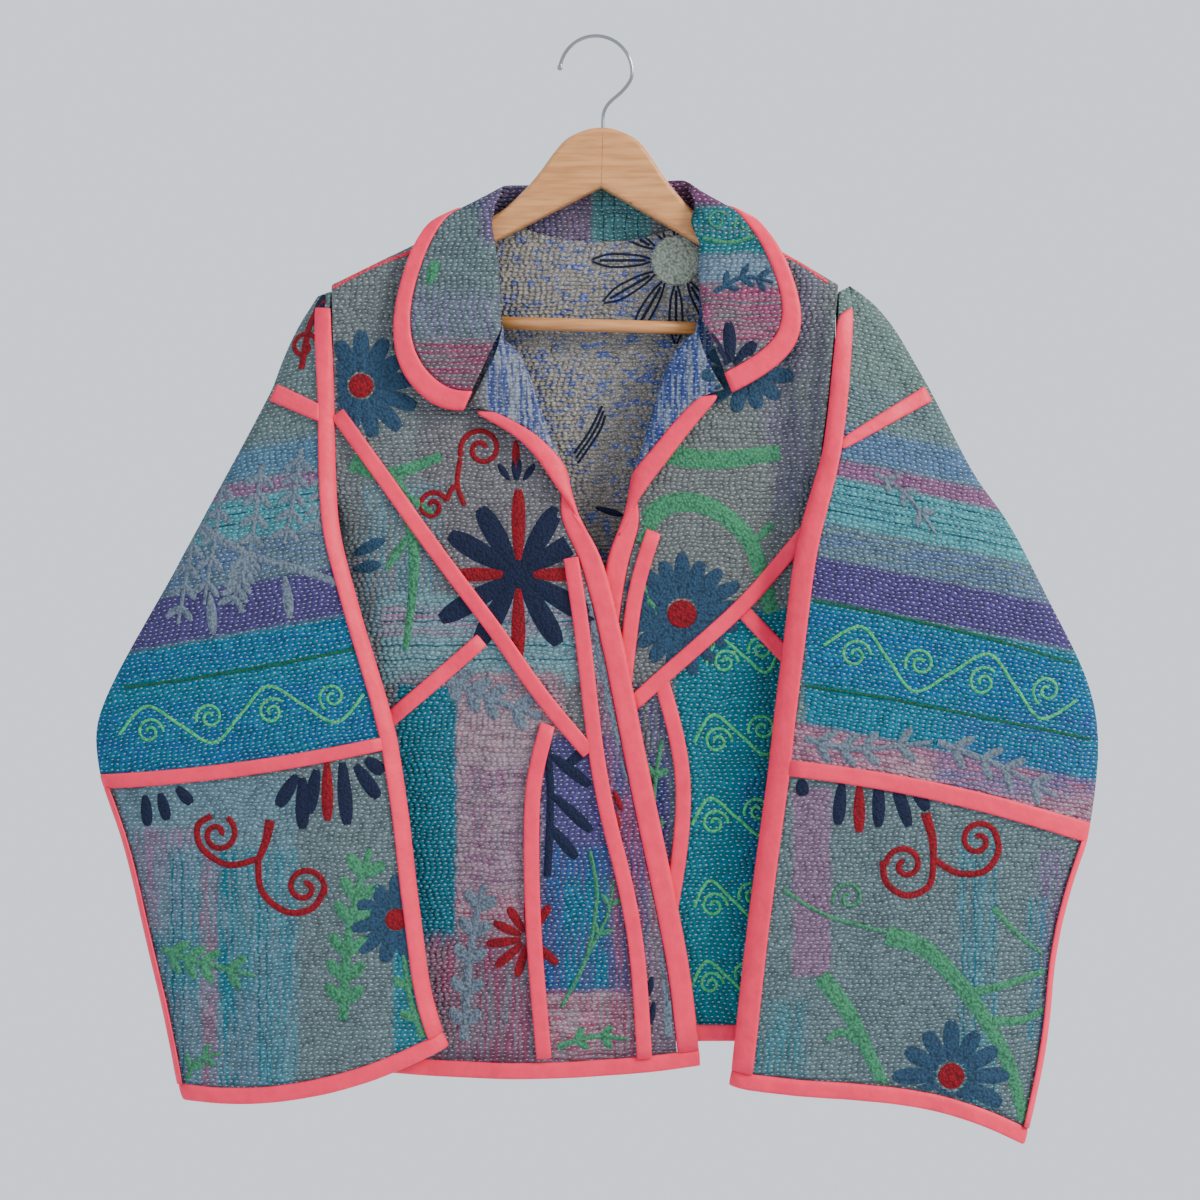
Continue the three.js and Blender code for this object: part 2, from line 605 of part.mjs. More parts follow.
// A sleeve's rings, each from the seam to the outer fold and back; the first columns carry the
// binding of the seam, and one column runs down the fold.
function sleeveGrid(side, table, places) {
  const band = SLEEVE_BAND[side];
  return places.map((place) => {
    const section = sleeveSection(rowAt(table, place));
    const lengths = lengthsAlong(section);
    const fold = lengths[FOLD_INDEX];
    const reach = Math.min(OUTER_REACH, (fold - band) / 4);
    return pointsAtDistances(section, [
      ...placesBetween(0, band, 3),
      ...placesBetween(band + SEAM_GAP, fold - reach, FRONT_STEPS),
      fold,
      ...placesBetween(fold + reach, lengths.pop(), 5),
    ]);
  });
}

function sleevePieces(side, table) {
  const head = HEAD_SEAM[side];
  const elbowTop = ELBOW_SEAM - 0.008;
  const elbowBottom = ELBOW_SEAM + 0.003;
  const places = [
    ...placesBetween(0, head - HEAD_REACH, 5),
    head,
    ...placesBetween(head + HEAD_REACH, ELBOW_SEAM - ELBOW_REACH, 11),
    elbowTop,
    elbowBottom,
    ELBOW_SEAM + ELBOW_REACH,
    ...placesBetween(ELBOW_SEAM + ELBOW_REACH + 0.008, CUFF_ROW - 0.013, 7),
    ...placesBetween(CUFF_ROW, CUFF_ROW + 1, 2),
  ];
  const grid = sleeveGrid(side, table, places);
  const headAt = places.indexOf(head);
  const elbowAt = places.indexOf(elbowTop);
  const cuffAt = places.indexOf(CUFF_ROW);
  const columns = range(0, grid[0].length - 1);
  const foldColumn = 5 + FRONT_STEPS;
  const seamRows = [...range(1, elbowAt), ...range(elbowAt + 2, cuffAt - 1)];
  const pink = () => finish(COLOURS.binding, 0.6);
  const upper = wallFrom(grid, range(0, elbowAt), columns);
  const lower = wallFrom(grid, range(elbowAt + 1, cuffAt - 1), columns);
  const cuff = bandFrom(grid, range(cuffAt, cuffAt + 2), columns);
  const seam = laidOver(grid, seamRows, range(0, 3));
  const headBand = laidOver(grid, range(headAt - 1, headAt + 1), range(4, 4 + FRONT_STEPS));
  const elbow = laidOver(grid, [elbowAt - 1, elbowAt, elbowAt + 2], range(4, columns.length - 1));
  const outer = laidOver(grid, range(elbowAt + 3, cuffAt - 1), range(foldColumn - 1, foldColumn + 1));
  return [
    meshOf(`sleeve_upper_${side}`, upper, finish(COLOURS.sleeveUpper)),
    meshOf(`sleeve_lower_${side}`, lower, finish(COLOURS.sleeveLower)),
    meshOf(`cuff_binding_${side}`, cuff, pink()),
    meshOf(`sleeve_seam_binding_${side}`, seam, pink()),
    meshOf(`sleeve_head_binding_${side}`, headBand, pink()),
    meshOf(`elbow_binding_${side}`, elbow, pink()),
    meshOf(`sleeve_outer_binding_${side}`, outer, pink()),
  ];
}

function collarSection(row) {
  const neck = new THREE.Vector3(row.nx, row.ny, row.nz);
  const roll = new THREE.Vector3(row.rx, row.ry, row.rz);
  const edge = new THREE.Vector3(row.ex, row.ey, row.ez);
  const stand = neck.clone().lerp(roll, 0.6);
  const over = roll.clone().lerp(edge, 9 / roll.distanceTo(edge));
  over.y = roll.y + (edge.y - roll.y) * 0.8;
  const fall = over.clone().lerp(edge, 0.5);
  return new THREE.CatmullRomCurve3([neck, stand, roll, over, fall, edge], false, 'centripetal').getPoints(60);
}

function collarPieces() {
  const stations = placesBetween(0, COLLAR.length - 1, 46);
  const clothSteps = 8;
  const grid = stations.map((place) => {
    const section = collarSection(rowAt(COLLAR, place));
    const total = lengthsAlong(section).pop();
    const seam = total - EDGE_BAND;
    return pointsAtDistances(section, [
      ...placesBetween(0, seam - ROLL_GAP, clothSteps),
      ...placesBetween(seam, total, 3),
    ]);
  });
  const rows = range(0, grid.length - 1);
  const band = bandFrom(grid, rows, range(clothSteps + 1, clothSteps + 4));
  return [
    meshOf('collar', wallFrom(grid, rows, range(0, clothSteps)), finish(COLOURS.collar)),
    meshOf('collar_binding', band, finish(COLOURS.binding, 0.6)),
  ];
}

function meshOf(name, geometry, material) {
  const mesh = new THREE.Mesh(geometry, material);
  mesh.name = name;
  return mesh;
}

function solidOf(geometry) {
  const bare = geometry.index ? geometry.toNonIndexed() : geometry.clone();
  bare.deleteAttribute('normal');
  bare.deleteAttribute('uv');
  const merged = mergeVertices(bare, 1e-4);
  return new wasm.Manifold(new wasm.Mesh({
    numProp: 3,
    vertProperties: new Float32Array(merged.attributes.position.array),
    triVerts: new Uint32Array(merged.index.array),
  }));
}

function geometryFrom(solid) {
  const { vertProperties, triVerts } = solid.getMesh();
  const geometry = new THREE.BufferGeometry();
  geometry.setAttribute('position', new THREE.BufferAttribute(new Float32Array(vertProperties), 3));
  geometry.setIndex(new THREE.BufferAttribute(new Uint32Array(triVerts), 1));
  return geometry;
}

// Half of the wooden hanger's outline, from the top of the head to the middle of the underside.
const WOOD_HALF = [[0, -74], [12, -76], [27, -83], [37, -94], [51, -114], [66, -131], [81, -144], [109, -158.5],
  [140, -174], [168, -189], [177, -195], [180, -203], [180, -232], [176, -239], [163, -239], [159, -232],
  [152, -206], [82, -166]];
const WOOD_UNDER = [0, -121];

function woodShape() {
  const inset = WOOD.bevel;
  const right = WOOD_HALF.map(([x, z]) => new THREE.Vector2(x, z));
  const left = WOOD_HALF.slice(1).map(([x, z]) => new THREE.Vector2(-x, z)).reverse();
  const ring = [...right, new THREE.Vector2(...WOOD_UNDER), ...left];
  const count = ring.length;
  const shrunk = ring.map((point, k) => {
    const before = point.clone().sub(ring[(k + count - 1) % count]).normalize();
    const after = ring[(k + 1) % count].clone().sub(point).normalize();
    const inward = new THREE.Vector2(before.y + after.y, -before.x - after.x).normalize();
    const sharpness = Math.max(0.5, Math.sqrt((1 + before.dot(after)) / 2));
    return point.clone().addScaledVector(inward, inset / sharpness);
  });
  return new THREE.Shape(shrunk);
}

function hangerPieces() {
  const wood = new THREE.ExtrudeGeometry(woodShape(), {
    depth: WOOD.thick - 2 * WOOD.bevel,
    bevelThickness: WOOD.bevel,
    bevelSize: WOOD.bevel,
    bevelSegments: 2,
    steps: 1,
  });
  wood.rotateX(Math.PI / 2);
  wood.translate(0, WOOD.thick / 2 - WOOD.bevel, 0);
  const bore = new THREE.CylinderGeometry(HOOK.wire + SEAM_GAP, HOOK.wire + SEAM_GAP, 2 * HOOK.stemDepth, 16);
  bore.rotateX(Math.PI / 2);
  bore.rotateY(-HANGER_TILT);
  bore.translate(0, 0, WOOD.topZ);
  const socket = new THREE.CylinderGeometry(BAR.socket, BAR.socket, 2 * (BAR.halfLength + SEAM_GAP), 24);
  socket.rotateZ(Math.PI / 2);
  socket.translate(0, 0, BAR.z);
  const drilled = geometryFrom(solidOf(wood).subtract(solidOf(bore)).subtract(solidOf(socket)));
  const bar = new THREE.CylinderGeometry(BAR.radius, BAR.radius, 2 * BAR.halfLength, 20);
  bar.rotateZ(Math.PI / 2);
  bar.translate(0, 0, BAR.z);
  const turned = new THREE.Group();
  turned.position.set(HOOK.stemX, 0, WOOD.topZ);
  turned.rotation.y = HANGER_TILT;
  const pieces = [
    meshOf('hanger_wood', drilled, finish(COLOURS.wood, 0.45)),
    meshOf('hanger_bar', bar, finish(COLOURS.wood, 0.45)),
  ];
  for (const piece of pieces) {
    piece.position.z = -WOOD.topZ;
    turned.add(piece);
  }
  return turned;
}

// The wire hook: its arc over the support, the bend in to the stem, and the stem into the wood.
function hookMesh() {
  const { radius, wire, stemX } = HOOK;
  const centre = new THREE.Vector2(HOOK.arcX, -radius - wire);
  const points = [];
  const first = 172;
  const last = -10;
  const arcSteps = 16;
  for (let k = 0; k <= arcSteps; k += 1) {
    const angle = THREE.MathUtils.degToRad(first + ((last - first) * k) / arcSteps);
    points.push(new THREE.Vector3(centre.x + radius * Math.cos(angle), 0, centre.y + radius * Math.sin(angle)));
  }
  points.push(new THREE.Vector3(17, 0, -46));
  points.push(new THREE.Vector3(7.5, 0, -54));
  points.push(new THREE.Vector3(stemX + 0.6, 0, -61));
  points.push(new THREE.Vector3(stemX, 0, -68));
  points.push(new THREE.Vector3(stemX, 0, WOOD.topZ - HOOK.stemDepth + 1));
  const sides = 8;
  const ring = Array.from({ length: sides }, (unused, k) => {
    const angle = (2 * Math.PI * k) / sides;
    return new THREE.Vector2(wire * Math.cos(angle), wire * Math.sin(angle));
  });
  const wireGeometry = new THREE.ExtrudeGeometry(new THREE.Shape(ring), {
    steps: 30,
    bevelEnabled: false,
    extrudePath: new THREE.CatmullRomCurve3(points, false, 'centripetal'),
  });
  const ball = new THREE.SphereGeometry(HOOK.ball, 10, 6);
  ball.translate(points[0].x, 0, points[0].z - 0.6);
  const joined = geometryFrom(solidOf(wireGeometry).add(solidOf(ball)));
  return meshOf('hanger_hook', joined, finish(COLOURS.steel, 0.25, 1));
}

const jacket = new THREE.Group();
jacket.position.copy(HOOK_ORIGIN);
jacket.add(hookMesh());
jacket.add(hangerPieces());
jacket.add(...backPieces());
jacket.add(...frontPieces('right', RIGHT_FRONT, COLOURS.frontRight));
jacket.add(...frontPieces('left', LEFT_FRONT, COLOURS.frontLeft));
for (const [side, seams] of Object.entries(FRONT_SEAMS)) {
  for (const [name, line] of Object.entries(seams)) {
    jacket.add(meshOf(`${name}_${side}`, seamStrip(side, line), finish(COLOURS.binding, 0.6)));
  }
}
jacket.add(...sleevePieces('right', RIGHT_SLEEVE));
jacket.add(...sleevePieces('left', LEFT_SLEEVE));
jacket.add(...collarPieces());

export default jacket;
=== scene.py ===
"""A quilted kantha jacket on a wooden hanger, dressed on its solids. Sizes in the tables are in millimetres."""

import logging
import math
from collections.abc import Sequence
from dataclasses import dataclass, field
from enum import Enum

import bmesh
import bpy
from mathutils import Matrix, Vector, noise
from mathutils.bvhtree import BVHTree

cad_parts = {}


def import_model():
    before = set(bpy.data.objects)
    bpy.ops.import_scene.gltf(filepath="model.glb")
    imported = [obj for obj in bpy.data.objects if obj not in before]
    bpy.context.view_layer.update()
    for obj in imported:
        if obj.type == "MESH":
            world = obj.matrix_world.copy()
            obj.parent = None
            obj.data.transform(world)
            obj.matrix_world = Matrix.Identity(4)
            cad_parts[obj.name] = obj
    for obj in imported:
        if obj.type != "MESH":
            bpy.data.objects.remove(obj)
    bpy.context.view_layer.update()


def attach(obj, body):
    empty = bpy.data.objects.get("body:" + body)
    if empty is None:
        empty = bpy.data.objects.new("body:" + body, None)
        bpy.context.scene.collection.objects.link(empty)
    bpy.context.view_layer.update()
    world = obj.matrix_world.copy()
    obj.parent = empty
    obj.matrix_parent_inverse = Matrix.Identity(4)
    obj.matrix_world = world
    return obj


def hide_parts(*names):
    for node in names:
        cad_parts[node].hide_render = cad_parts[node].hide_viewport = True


LOG = logging.getLogger("kantha_jacket")
MM = 0.001
SEED = 11
# A side smaller than this, in square millimetres, is the cut end of a strip
CUT_END = 75.0
# Faces that meet more sharply than this, in radians, meet at a rim
RIM_ANGLE = 0.9
# One square of the layout sheet, in millimetres, and the square and height at the hook
UNIT = 0.78
SHEET_ORIGIN = (598.0, 36.0)
FRAME_ORIGIN = (3.0, 3.2)
Point = tuple[float, float]


def linear(code: str) -> tuple[float, float, float, float]:
    """A hex sRGB colour as linear red, green, blue and alpha.

    Args:
        code: Six hex digits.

    Returns:
        The linear colour with alpha 1.
    """
    parts = [int(code[k : k + 2], 16) / 255 for k in (0, 2, 4)]
    curve = [c / 12.92 if c <= 0.04045 else ((c + 0.055) / 1.055) ** 2.4 for c in parts]
    return (curve[0], curve[1], curve[2], 1.0)


def add_node(tree: bpy.types.NodeTree, kind: str, inputs: dict | None = None, **settings: object) -> bpy.types.Node:
    """Adds a node, sets its properties and fills its sockets.

    Args:
        tree: The node tree.
        kind: The node's type name.
        inputs: Socket name or number to a value or to another node's output.
        settings: The node's own properties.

    Returns:
        The new node.
    """
    node = tree.nodes.new(kind)
    for name, value in settings.items():
        setattr(node, name, value)
    for key, value in (inputs or {}).items():
        if isinstance(value, bpy.types.NodeSocket):
            tree.links.new(value, node.inputs[key])
        else:
            node.inputs[key].default_value = value
    return node


def math_node(tree: bpy.types.NodeTree, operation: str, *values: object) -> bpy.types.NodeSocket:
    """A Math node's output for values or sockets.

    Args:
        tree: The node tree.
        operation: The Math node's operation.
        values: Numbers or sockets, in order.

    Returns:
        The output socket.
    """
    return add_node(tree, "ShaderNodeMath", dict(enumerate(values)), operation=operation).outputs[0]


def mix_colour(tree: bpy.types.NodeTree, factor: object, first: object, second: object) -> bpy.types.NodeSocket:
    """Mixes two colours by a factor and returns the output socket."""
    node = add_node(tree, "ShaderNodeMix", {0: factor, 6: first, 7: second}, data_type="RGBA")
    return node.outputs[2]


def new_material(name: str) -> tuple[bpy.types.Material, bpy.types.NodeTree, bpy.types.Node]:
    """An empty material with its main shader.

    Args:
        name: The material's name.

    Returns:
        The material, its tree and the main shader.
    """
    material = bpy.data.materials.new(name)
    material.use_nodes = True
    tree = material.node_tree
    tree.nodes.clear()
    shader = add_node(tree, "ShaderNodeBsdfPrincipled")
    output = add_node(tree, "ShaderNodeOutputMaterial")
    tree.links.new(shader.outputs[0], output.inputs[0])
    return material, tree, shader


class Grain(Enum):
    """Which way the streaks of a printed patch run."""

    NONE = 0
    UPRIGHT = 1
    ACROSS = 2


@dataclass(frozen=True)
class Patch:
    """A patch, stripe or line of the printed cloth, between two widths and two heights."""

    left: float
    right: float
    low: float
    high: float
    colour: str
    strength: float = 1.0
    blur: float = 1.5
    grain: Grain = Grain.NONE
    slanted: bool = False
    lean: float = 0.0


@dataclass(frozen=True)
class Crease:
    """A soft trough (depth below 0) or ridge along a line seen from the front."""

    start: Point
    end: Point
    width: float
    depth: float


@dataclass(frozen=True)
class KanthaCloth:
    """Quilted printed cotton, matt, with rows of white running stitch that pucker it."""

    name: str
    ground: str
    patches: tuple[Patch, ...] = ()
    slope: float = 0.0
    pivot: float = 0.0
    row: float = 3.3
    stitch: float = 4.6
    thread: str = "E9ECEB"
    flecks: str = ""
    lining: str = "8A857C"

    def patch_mask(
        self, tree: bpy.types.NodeTree, patch: Patch, across: object, height: object, streaks: dict
    ) -> object:
        """How much of a patch's colour shows at a place.

        Args:
            tree: The node tree.
            patch: The patch.
            across: Socket of the place's width in millimetres.
            height: Socket of its height in millimetres.
            streaks: Streak sockets by grain.

        Returns:
            The factor's socket.
        """
        product: object = patch.strength
        for place, low, high in ((across, patch.left, patch.right), (height, patch.low, patch.high)):
            for edge, sign in ((low, 1), (high, -1)):
                ramp = add_node(
                    tree,
                    "ShaderNodeMapRange",
                    {0: place, 1: edge - sign * patch.blur, 2: edge + sign * patch.blur, 3: 0.0, 4: 1.0},
                    interpolation_type="SMOOTHSTEP",
                )
                product = math_node(tree, "MULTIPLY", product, ramp.outputs[0])
        if patch.grain is not Grain.NONE:
            product = math_node(tree, "MULTIPLY", product, streaks[patch.grain])
        return product

    def flecked(self, tree: bpy.types.NodeTree, scaled: object, colour: object) -> object:
        """Gives the face turned forward the lining cloth, with short dark marks and printed blots.

        Args:
            tree: The node tree.
            scaled: Socket of the place in millimetres.
            colour: Socket of the colour so far.

        Returns:
            The new colour's socket.
        """
        stretch = {0: scaled, 1: (0.1, 0.15, 0.16)}
        long = add_node(tree, "ShaderNodeVectorMath", stretch, operation="MULTIPLY").outputs[0]
        blots = add_node(tree, "ShaderNodeTexNoise", {"Vector": long, "Scale": 1.0, "Detail": 2.0, "Distortion": 1.2})
        mask = add_node(tree, "ShaderNodeMapRange", {0: blots.outputs[0], 1: 0.56, 2: 0.6, 3: 0.0, 4: 0.75}).outputs[0]
        lining = mix_colour(tree, mask, linear(self.lining), linear(self.flecks))
        bent = add_node(tree, "ShaderNodeTexNoise", {"Vector": scaled, "Scale": 0.34, "Detail": 1.0, "Distortion": 2.5})
        marks = add_node(tree, "ShaderNodeMapRange", {0: bent.outputs[0], 1: 0.55, 2: 0.6, 3: 0.0, 4: 0.6}).outputs[0]
        lining = mix_colour(tree, marks, lining, linear("2E3350"))
        turned = add_node(tree, "ShaderNodeSeparateXYZ", {0: add_node(tree, "ShaderNodeTexCoord").outputs["Normal"]})
        forward = math_node(tree, "LESS_THAN", turned.outputs[1], 0.0)
        return mix_colour(tree, forward, colour, lining)

    def build(self) -> bpy.types.Material:
        """Makes the cloth's material.

        Returns:
            The material.
        """
        material, tree, shader = new_material(self.name)
        place = add_node(tree, "ShaderNodeTexCoord").outputs["Object"]
        scaled = add_node(tree, "ShaderNodeVectorMath", {0: place, 3: 1000.0}, operation="SCALE").outputs[0]
        axes = add_node(tree, "ShaderNodeSeparateXYZ", {0: scaled})
        wander = add_node(tree, "ShaderNodeTexNoise", {"Vector": scaled, "Scale": 0.07, "Detail": 4.0})
        shift = math_node(tree, "MULTIPLY", math_node(tree, "SUBTRACT", wander.outputs[0], 0.5), 7.0)
        across = math_node(tree, "ADD", axes.outputs[0], shift)
        height = math_node(tree, "ADD", axes.outputs[2], shift)
        tilt = math_node(tree, "MULTIPLY", math_node(tree, "SUBTRACT", axes.outputs[0], self.pivot), self.slope)
        slanted = math_node(tree, "SUBTRACT", axes.outputs[2], tilt)
        streaks = {}
        for grain, stretch in ((Grain.UPRIGHT, (0.35, 0.35, 0.02)), (Grain.ACROSS, (0.02, 0.35, 0.35))):
            pulled = add_node(tree, "ShaderNodeVectorMath", {0: scaled, 1: stretch}, operation="MULTIPLY").outputs[0]
            lines = add_node(tree, "ShaderNodeTexNoise", {"Vector": pulled, "Scale": 1.0, "Detail": 3.0})
            ramp = add_node(tree, "ShaderNodeMapRange", {0: lines.outputs[0], 1: 0.42, 2: 0.56, 3: 0.15, 4: 1.0})
            streaks[grain] = ramp.outputs[0]
        colour: object = linear(self.ground)
        for patch in self.patches:
            level = slanted if patch.slanted else height
            if patch.lean:
                drop = math_node(tree, "MULTIPLY", math_node(tree, "SUBTRACT", axes.outputs[0], patch.left), patch.lean)
                level = math_node(tree, "SUBTRACT", axes.outputs[2], drop)
            mask = self.patch_mask(tree, patch, across, level, streaks)
            colour = mix_colour(tree, mask, colour, linear(patch.colour))
        if self.flecks:
            colour = self.flecked(tree, scaled, colour)
        # Worn cotton: uneven dye and a fine weave
        uneven = {"Vector": scaled, "Scale": 0.16, "Detail": 6.0, "Roughness": 0.65}
        blotch = add_node(tree, "ShaderNodeTexNoise", uneven)
        worn = add_node(tree, "ShaderNodeMapRange", {0: blotch.outputs[0], 1: 0.3, 2: 0.7, 3: 0.62, 4: 1.28}).outputs[0]
        colour = add_node(tree, "ShaderNodeMix", {0: 1.0, 6: colour, 7: worn}, data_type="RGBA", blend_type="MULTIPLY")
        colour = colour.outputs[2]
        # Rows of running stitch
        ripple = add_node(tree, "ShaderNodeTexNoise", {"Vector": scaled, "Scale": 0.045, "Detail": 2.0})
        wave = math_node(tree, "MULTIPLY", ripple.outputs[0], 9.0)
        rows = math_node(tree, "DIVIDE", math_node(tree, "ADD", slanted, wave), self.row)
        number = math_node(tree, "FLOOR", rows)
        chance = add_node(tree, "ShaderNodeTexWhiteNoise", {"W": number}, noise_dimensions="1D").outputs[0]
        along = math_node(tree, "ADD", math_node(tree, "DIVIDE", axes.outputs[0], self.stitch), chance)
        step = math_node(tree, "FRACT", along)
        beside = math_node(tree, "ABSOLUTE", math_node(tree, "SUBTRACT", math_node(tree, "FRACT", rows), 0.5))
        length = math_node(tree, "ABSOLUTE", math_node(tree, "SUBTRACT", step, 0.5))
        on_row = add_node(tree, "ShaderNodeMapRange", {0: beside, 1: 0.06, 2: 0.15, 3: 1.0, 4: 0.0}).outputs[0]
        on_dash = add_node(tree, "ShaderNodeMapRange", {0: length, 1: 0.13, 2: 0.21, 3: 1.0, 4: 0.0}).outputs[0]
        dash = math_node(tree, "MULTIPLY", on_row, on_dash)
        shown = math_node(tree, "MULTIPLY", dash, 0.42)
        colour = mix_colour(tree, shown, colour, linear(self.thread))
        # The cloth rises between the rows and is drawn down at each stitch
        hump = math_node(tree, "SINE", math_node(tree, "MULTIPLY", math_node(tree, "FRACT", rows), math.pi))
        turn = math_node(tree, "MULTIPLY", along, math.tau)
        pull = math_node(tree, "MULTIPLY", math_node(tree, "COSINE", turn), 0.25)
        bubbles = add_node(tree, "ShaderNodeTexVoronoi", {"Vector": scaled, "Scale": 0.3}, feature="SMOOTH_F1")
        bubble = math_node(tree, "MULTIPLY", bubbles.outputs[0], -1.2)
        fine = add_node(tree, "ShaderNodeTexNoise", {"Vector": scaled, "Scale": 1.6, "Detail": 3.0}).outputs[0]
        relief = math_node(tree, "SUBTRACT", bubble, math_node(tree, "MULTIPLY", hump, 0.55))
        relief = math_node(tree, "ADD", relief, pull)
        relief = math_node(tree, "ADD", relief, math_node(tree, "MULTIPLY", fine, 0.18))
        bump = add_node(tree, "ShaderNodeBump", {"Height": relief, "Strength": 1.0, "Distance": 1.6 * MM})
        tree.links.new(bump.outputs[0], shader.inputs["Normal"])
        # Painted shade and highlight: the colour is darkened where the quilting relief is low and lightened up to 1.15
        # times where it is high
        dark = add_node(tree, "ShaderNodeMapRange", {0: relief, 1: -1.4, 2: 0.1, 3: 0.6, 4: 1.15}).outputs[0]
        shaded = add_node(tree, "ShaderNodeMix", {0: 0.8, 6: colour, 7: dark}, data_type="RGBA", blend_type="MULTIPLY")
        tree.links.new(shaded.outputs[2], shader.inputs["Base Color"])
        shader.inputs["Roughness"].default_value = 0.9
        shader.inputs["Specular IOR Level"].default_value = 0.2
        return material


@dataclass(frozen=True)
class BindingTwill:
    """Bias binding of cotton and rayon twill, a soft satin."""

    name: str = "binding twill"
    colour: str = "E62249"

    def build(self) -> bpy.types.Material:
        """Makes the binding's material.

        Returns:
            The material.
        """
        material, tree, shader = new_material(self.name)
        place = add_node(tree, "ShaderNodeTexCoord").outputs["Object"]
        scaled = add_node(tree, "ShaderNodeVectorMath", {0: place, 3: 1000.0}, operation="SCALE").outputs[0]
        soft = add_node(tree, "ShaderNodeTexNoise", {"Vector": scaled, "Scale": 0.08, "Detail": 3.0}).outputs[0]
        shade = add_node(tree, "ShaderNodeMapRange", {0: soft, 1: 0.3, 2: 0.7, 3: 0.9, 4: 1.06}).outputs[0]
        dye_and_painted_shade = {0: 1.0, 6: linear(self.colour), 7: shade}
        tint = add_node(tree, "ShaderNodeMix", dye_and_painted_shade, data_type="RGBA", blend_type="MULTIPLY")
        tree.links.new(tint.outputs[2], shader.inputs["Base Color"])
        twill = add_node(
            tree,
            "ShaderNodeTexWave",
            {"Vector": scaled, "Scale": 0.45, "Distortion": 0.4},
            bands_direction="DIAGONAL",
        )
        pucker = add_node(tree, "ShaderNodeTexNoise", {"Vector": scaled, "Scale": 0.22, "Detail": 2.0}).outputs[0]
        height = math_node(tree, "ADD", math_node(tree, "MULTIPLY", twill.outputs[1], 0.08), pucker)
        bump = add_node(tree, "ShaderNodeBump", {"Height": height, "Strength": 0.5, "Distance": 1.0 * MM})
        tree.links.new(bump.outputs[0], shader.inputs["Normal"])
        shader.inputs["Roughness"].default_value = 0.5
        shader.inputs["Specular IOR Level"].default_value = 0.3
        return material


@dataclass(frozen=True)
class ChainThread:
    """Thick cotton thread worked in close chain stitch, matt."""

    name: str
    colour: str

    def build(self) -> bpy.types.Material:
        """Makes the thread's material.

        Returns:
            The material.
        """
        material, tree, shader = new_material(self.name)
        place = add_node(tree, "ShaderNodeTexCoord").outputs["Object"]
        scaled = add_node(tree, "ShaderNodeVectorMath", {0: place, 3: 1000.0}, operation="SCALE").outputs[0]
        links = add_node(tree, "ShaderNodeTexVoronoi", {"Vector": scaled, "Scale": 0.55}, feature="SMOOTH_F1")
        # Painted shade and highlight: the thread's colour is darkened in the gaps between the chain links and lightened
        # on their tops
        shade = add_node(tree, "ShaderNodeMapRange", {0: links.outputs[0], 1: 0.0, 2: 0.7, 3: 1.3, 4: 0.4}).outputs[0]
        dye_and_painted_shade = {0: 1.0, 6: linear(self.colour), 7: shade}
        tint = add_node(tree, "ShaderNodeMix", dye_and_painted_shade, data_type="RGBA", blend_type="MULTIPLY")
        tree.links.new(tint.outputs[2], shader.inputs["Base Color"])
        height = math_node(tree, "MULTIPLY", links.outputs[0], -1.0)
        bump = add_node(tree, "ShaderNodeBump", {"Height": height, "Strength": 1.0, "Distance": 1.2 * MM})
        tree.links.new(bump.outputs[0], shader.inputs["Normal"])
        shader.inputs["Roughness"].default_value = 0.8
        shader.inputs["Specular IOR Level"].default_value = 0.25
        return material


@dataclass(frozen=True)
class HangerBeech:
    """Beech under a clear satin lacquer, with a fine grain along the hanger and a few dark flecks."""

    name: str = "hanger beech"

    def build(self) -> bpy.types.Material:
        """Makes the wood's material.

        Returns:
            The material.
        """
        material, tree, shader = new_material(self.name)
        place = add_node(tree, "ShaderNodeTexCoord").outputs["Object"]
        scaled = add_node(tree, "ShaderNodeVectorMath", {0: place, 3: 1000.0}, operation="SCALE").outputs[0]
        stretch = {0: scaled, 1: (0.03, 0.5, 0.35)}
        pulled = add_node(tree, "ShaderNodeVectorMath", stretch, operation="MULTIPLY").outputs[0]
        grain = add_node(tree, "ShaderNodeTexNoise", {"Vector": pulled, "Scale": 1.0, "Detail": 5.0}).outputs[0]
        factor = add_node(tree, "ShaderNodeMapRange", {0: grain, 1: 0.35, 2: 0.65, 3: 0.0, 4: 1.0}).outputs[0]
        colour = mix_colour(tree, factor, linear("C68A52"), linear("AD713C"))
        flecks = add_node(tree, "ShaderNodeTexVoronoi", {"Vector": scaled, "Scale": 0.035}).outputs[0]
        fleck = add_node(tree, "ShaderNodeMapRange", {0: flecks, 1: 0.03, 2: 0.045, 3: 0.8, 4: 0.0}).outputs[0]
        colour = mix_colour(tree, fleck, colour, linear("6B4428"))
        tree.links.new(colour, shader.inputs["Base Color"])
        shader.inputs["Roughness"].default_value = 0.42
        shader.inputs["Coat Weight"].default_value = 0.25
        return material


@dataclass(frozen=True)
class HookChrome:
    """Bright chromed steel wire."""

    name: str = "hook chrome"

    def build(self) -> bpy.types.Material:
        """Makes the wire's material.

        Returns:
            The material.
        """
        material, tree, shader = new_material(self.name)
        place = add_node(tree, "ShaderNodeTexCoord").outputs["Object"]
        haze = add_node(tree, "ShaderNodeTexNoise", {"Vector": place, "Scale": 300.0}).outputs[0]
        rough = add_node(tree, "ShaderNodeMapRange", {0: haze, 1: 0.3, 2: 0.7, 3: 0.14, 4: 0.26}).outputs[0]
        tree.links.new(rough, shader.inputs["Roughness"])
        shader.inputs["Base Color"].default_value = linear("8E9194")
        shader.inputs["Metallic"].default_value = 1.0
        return material


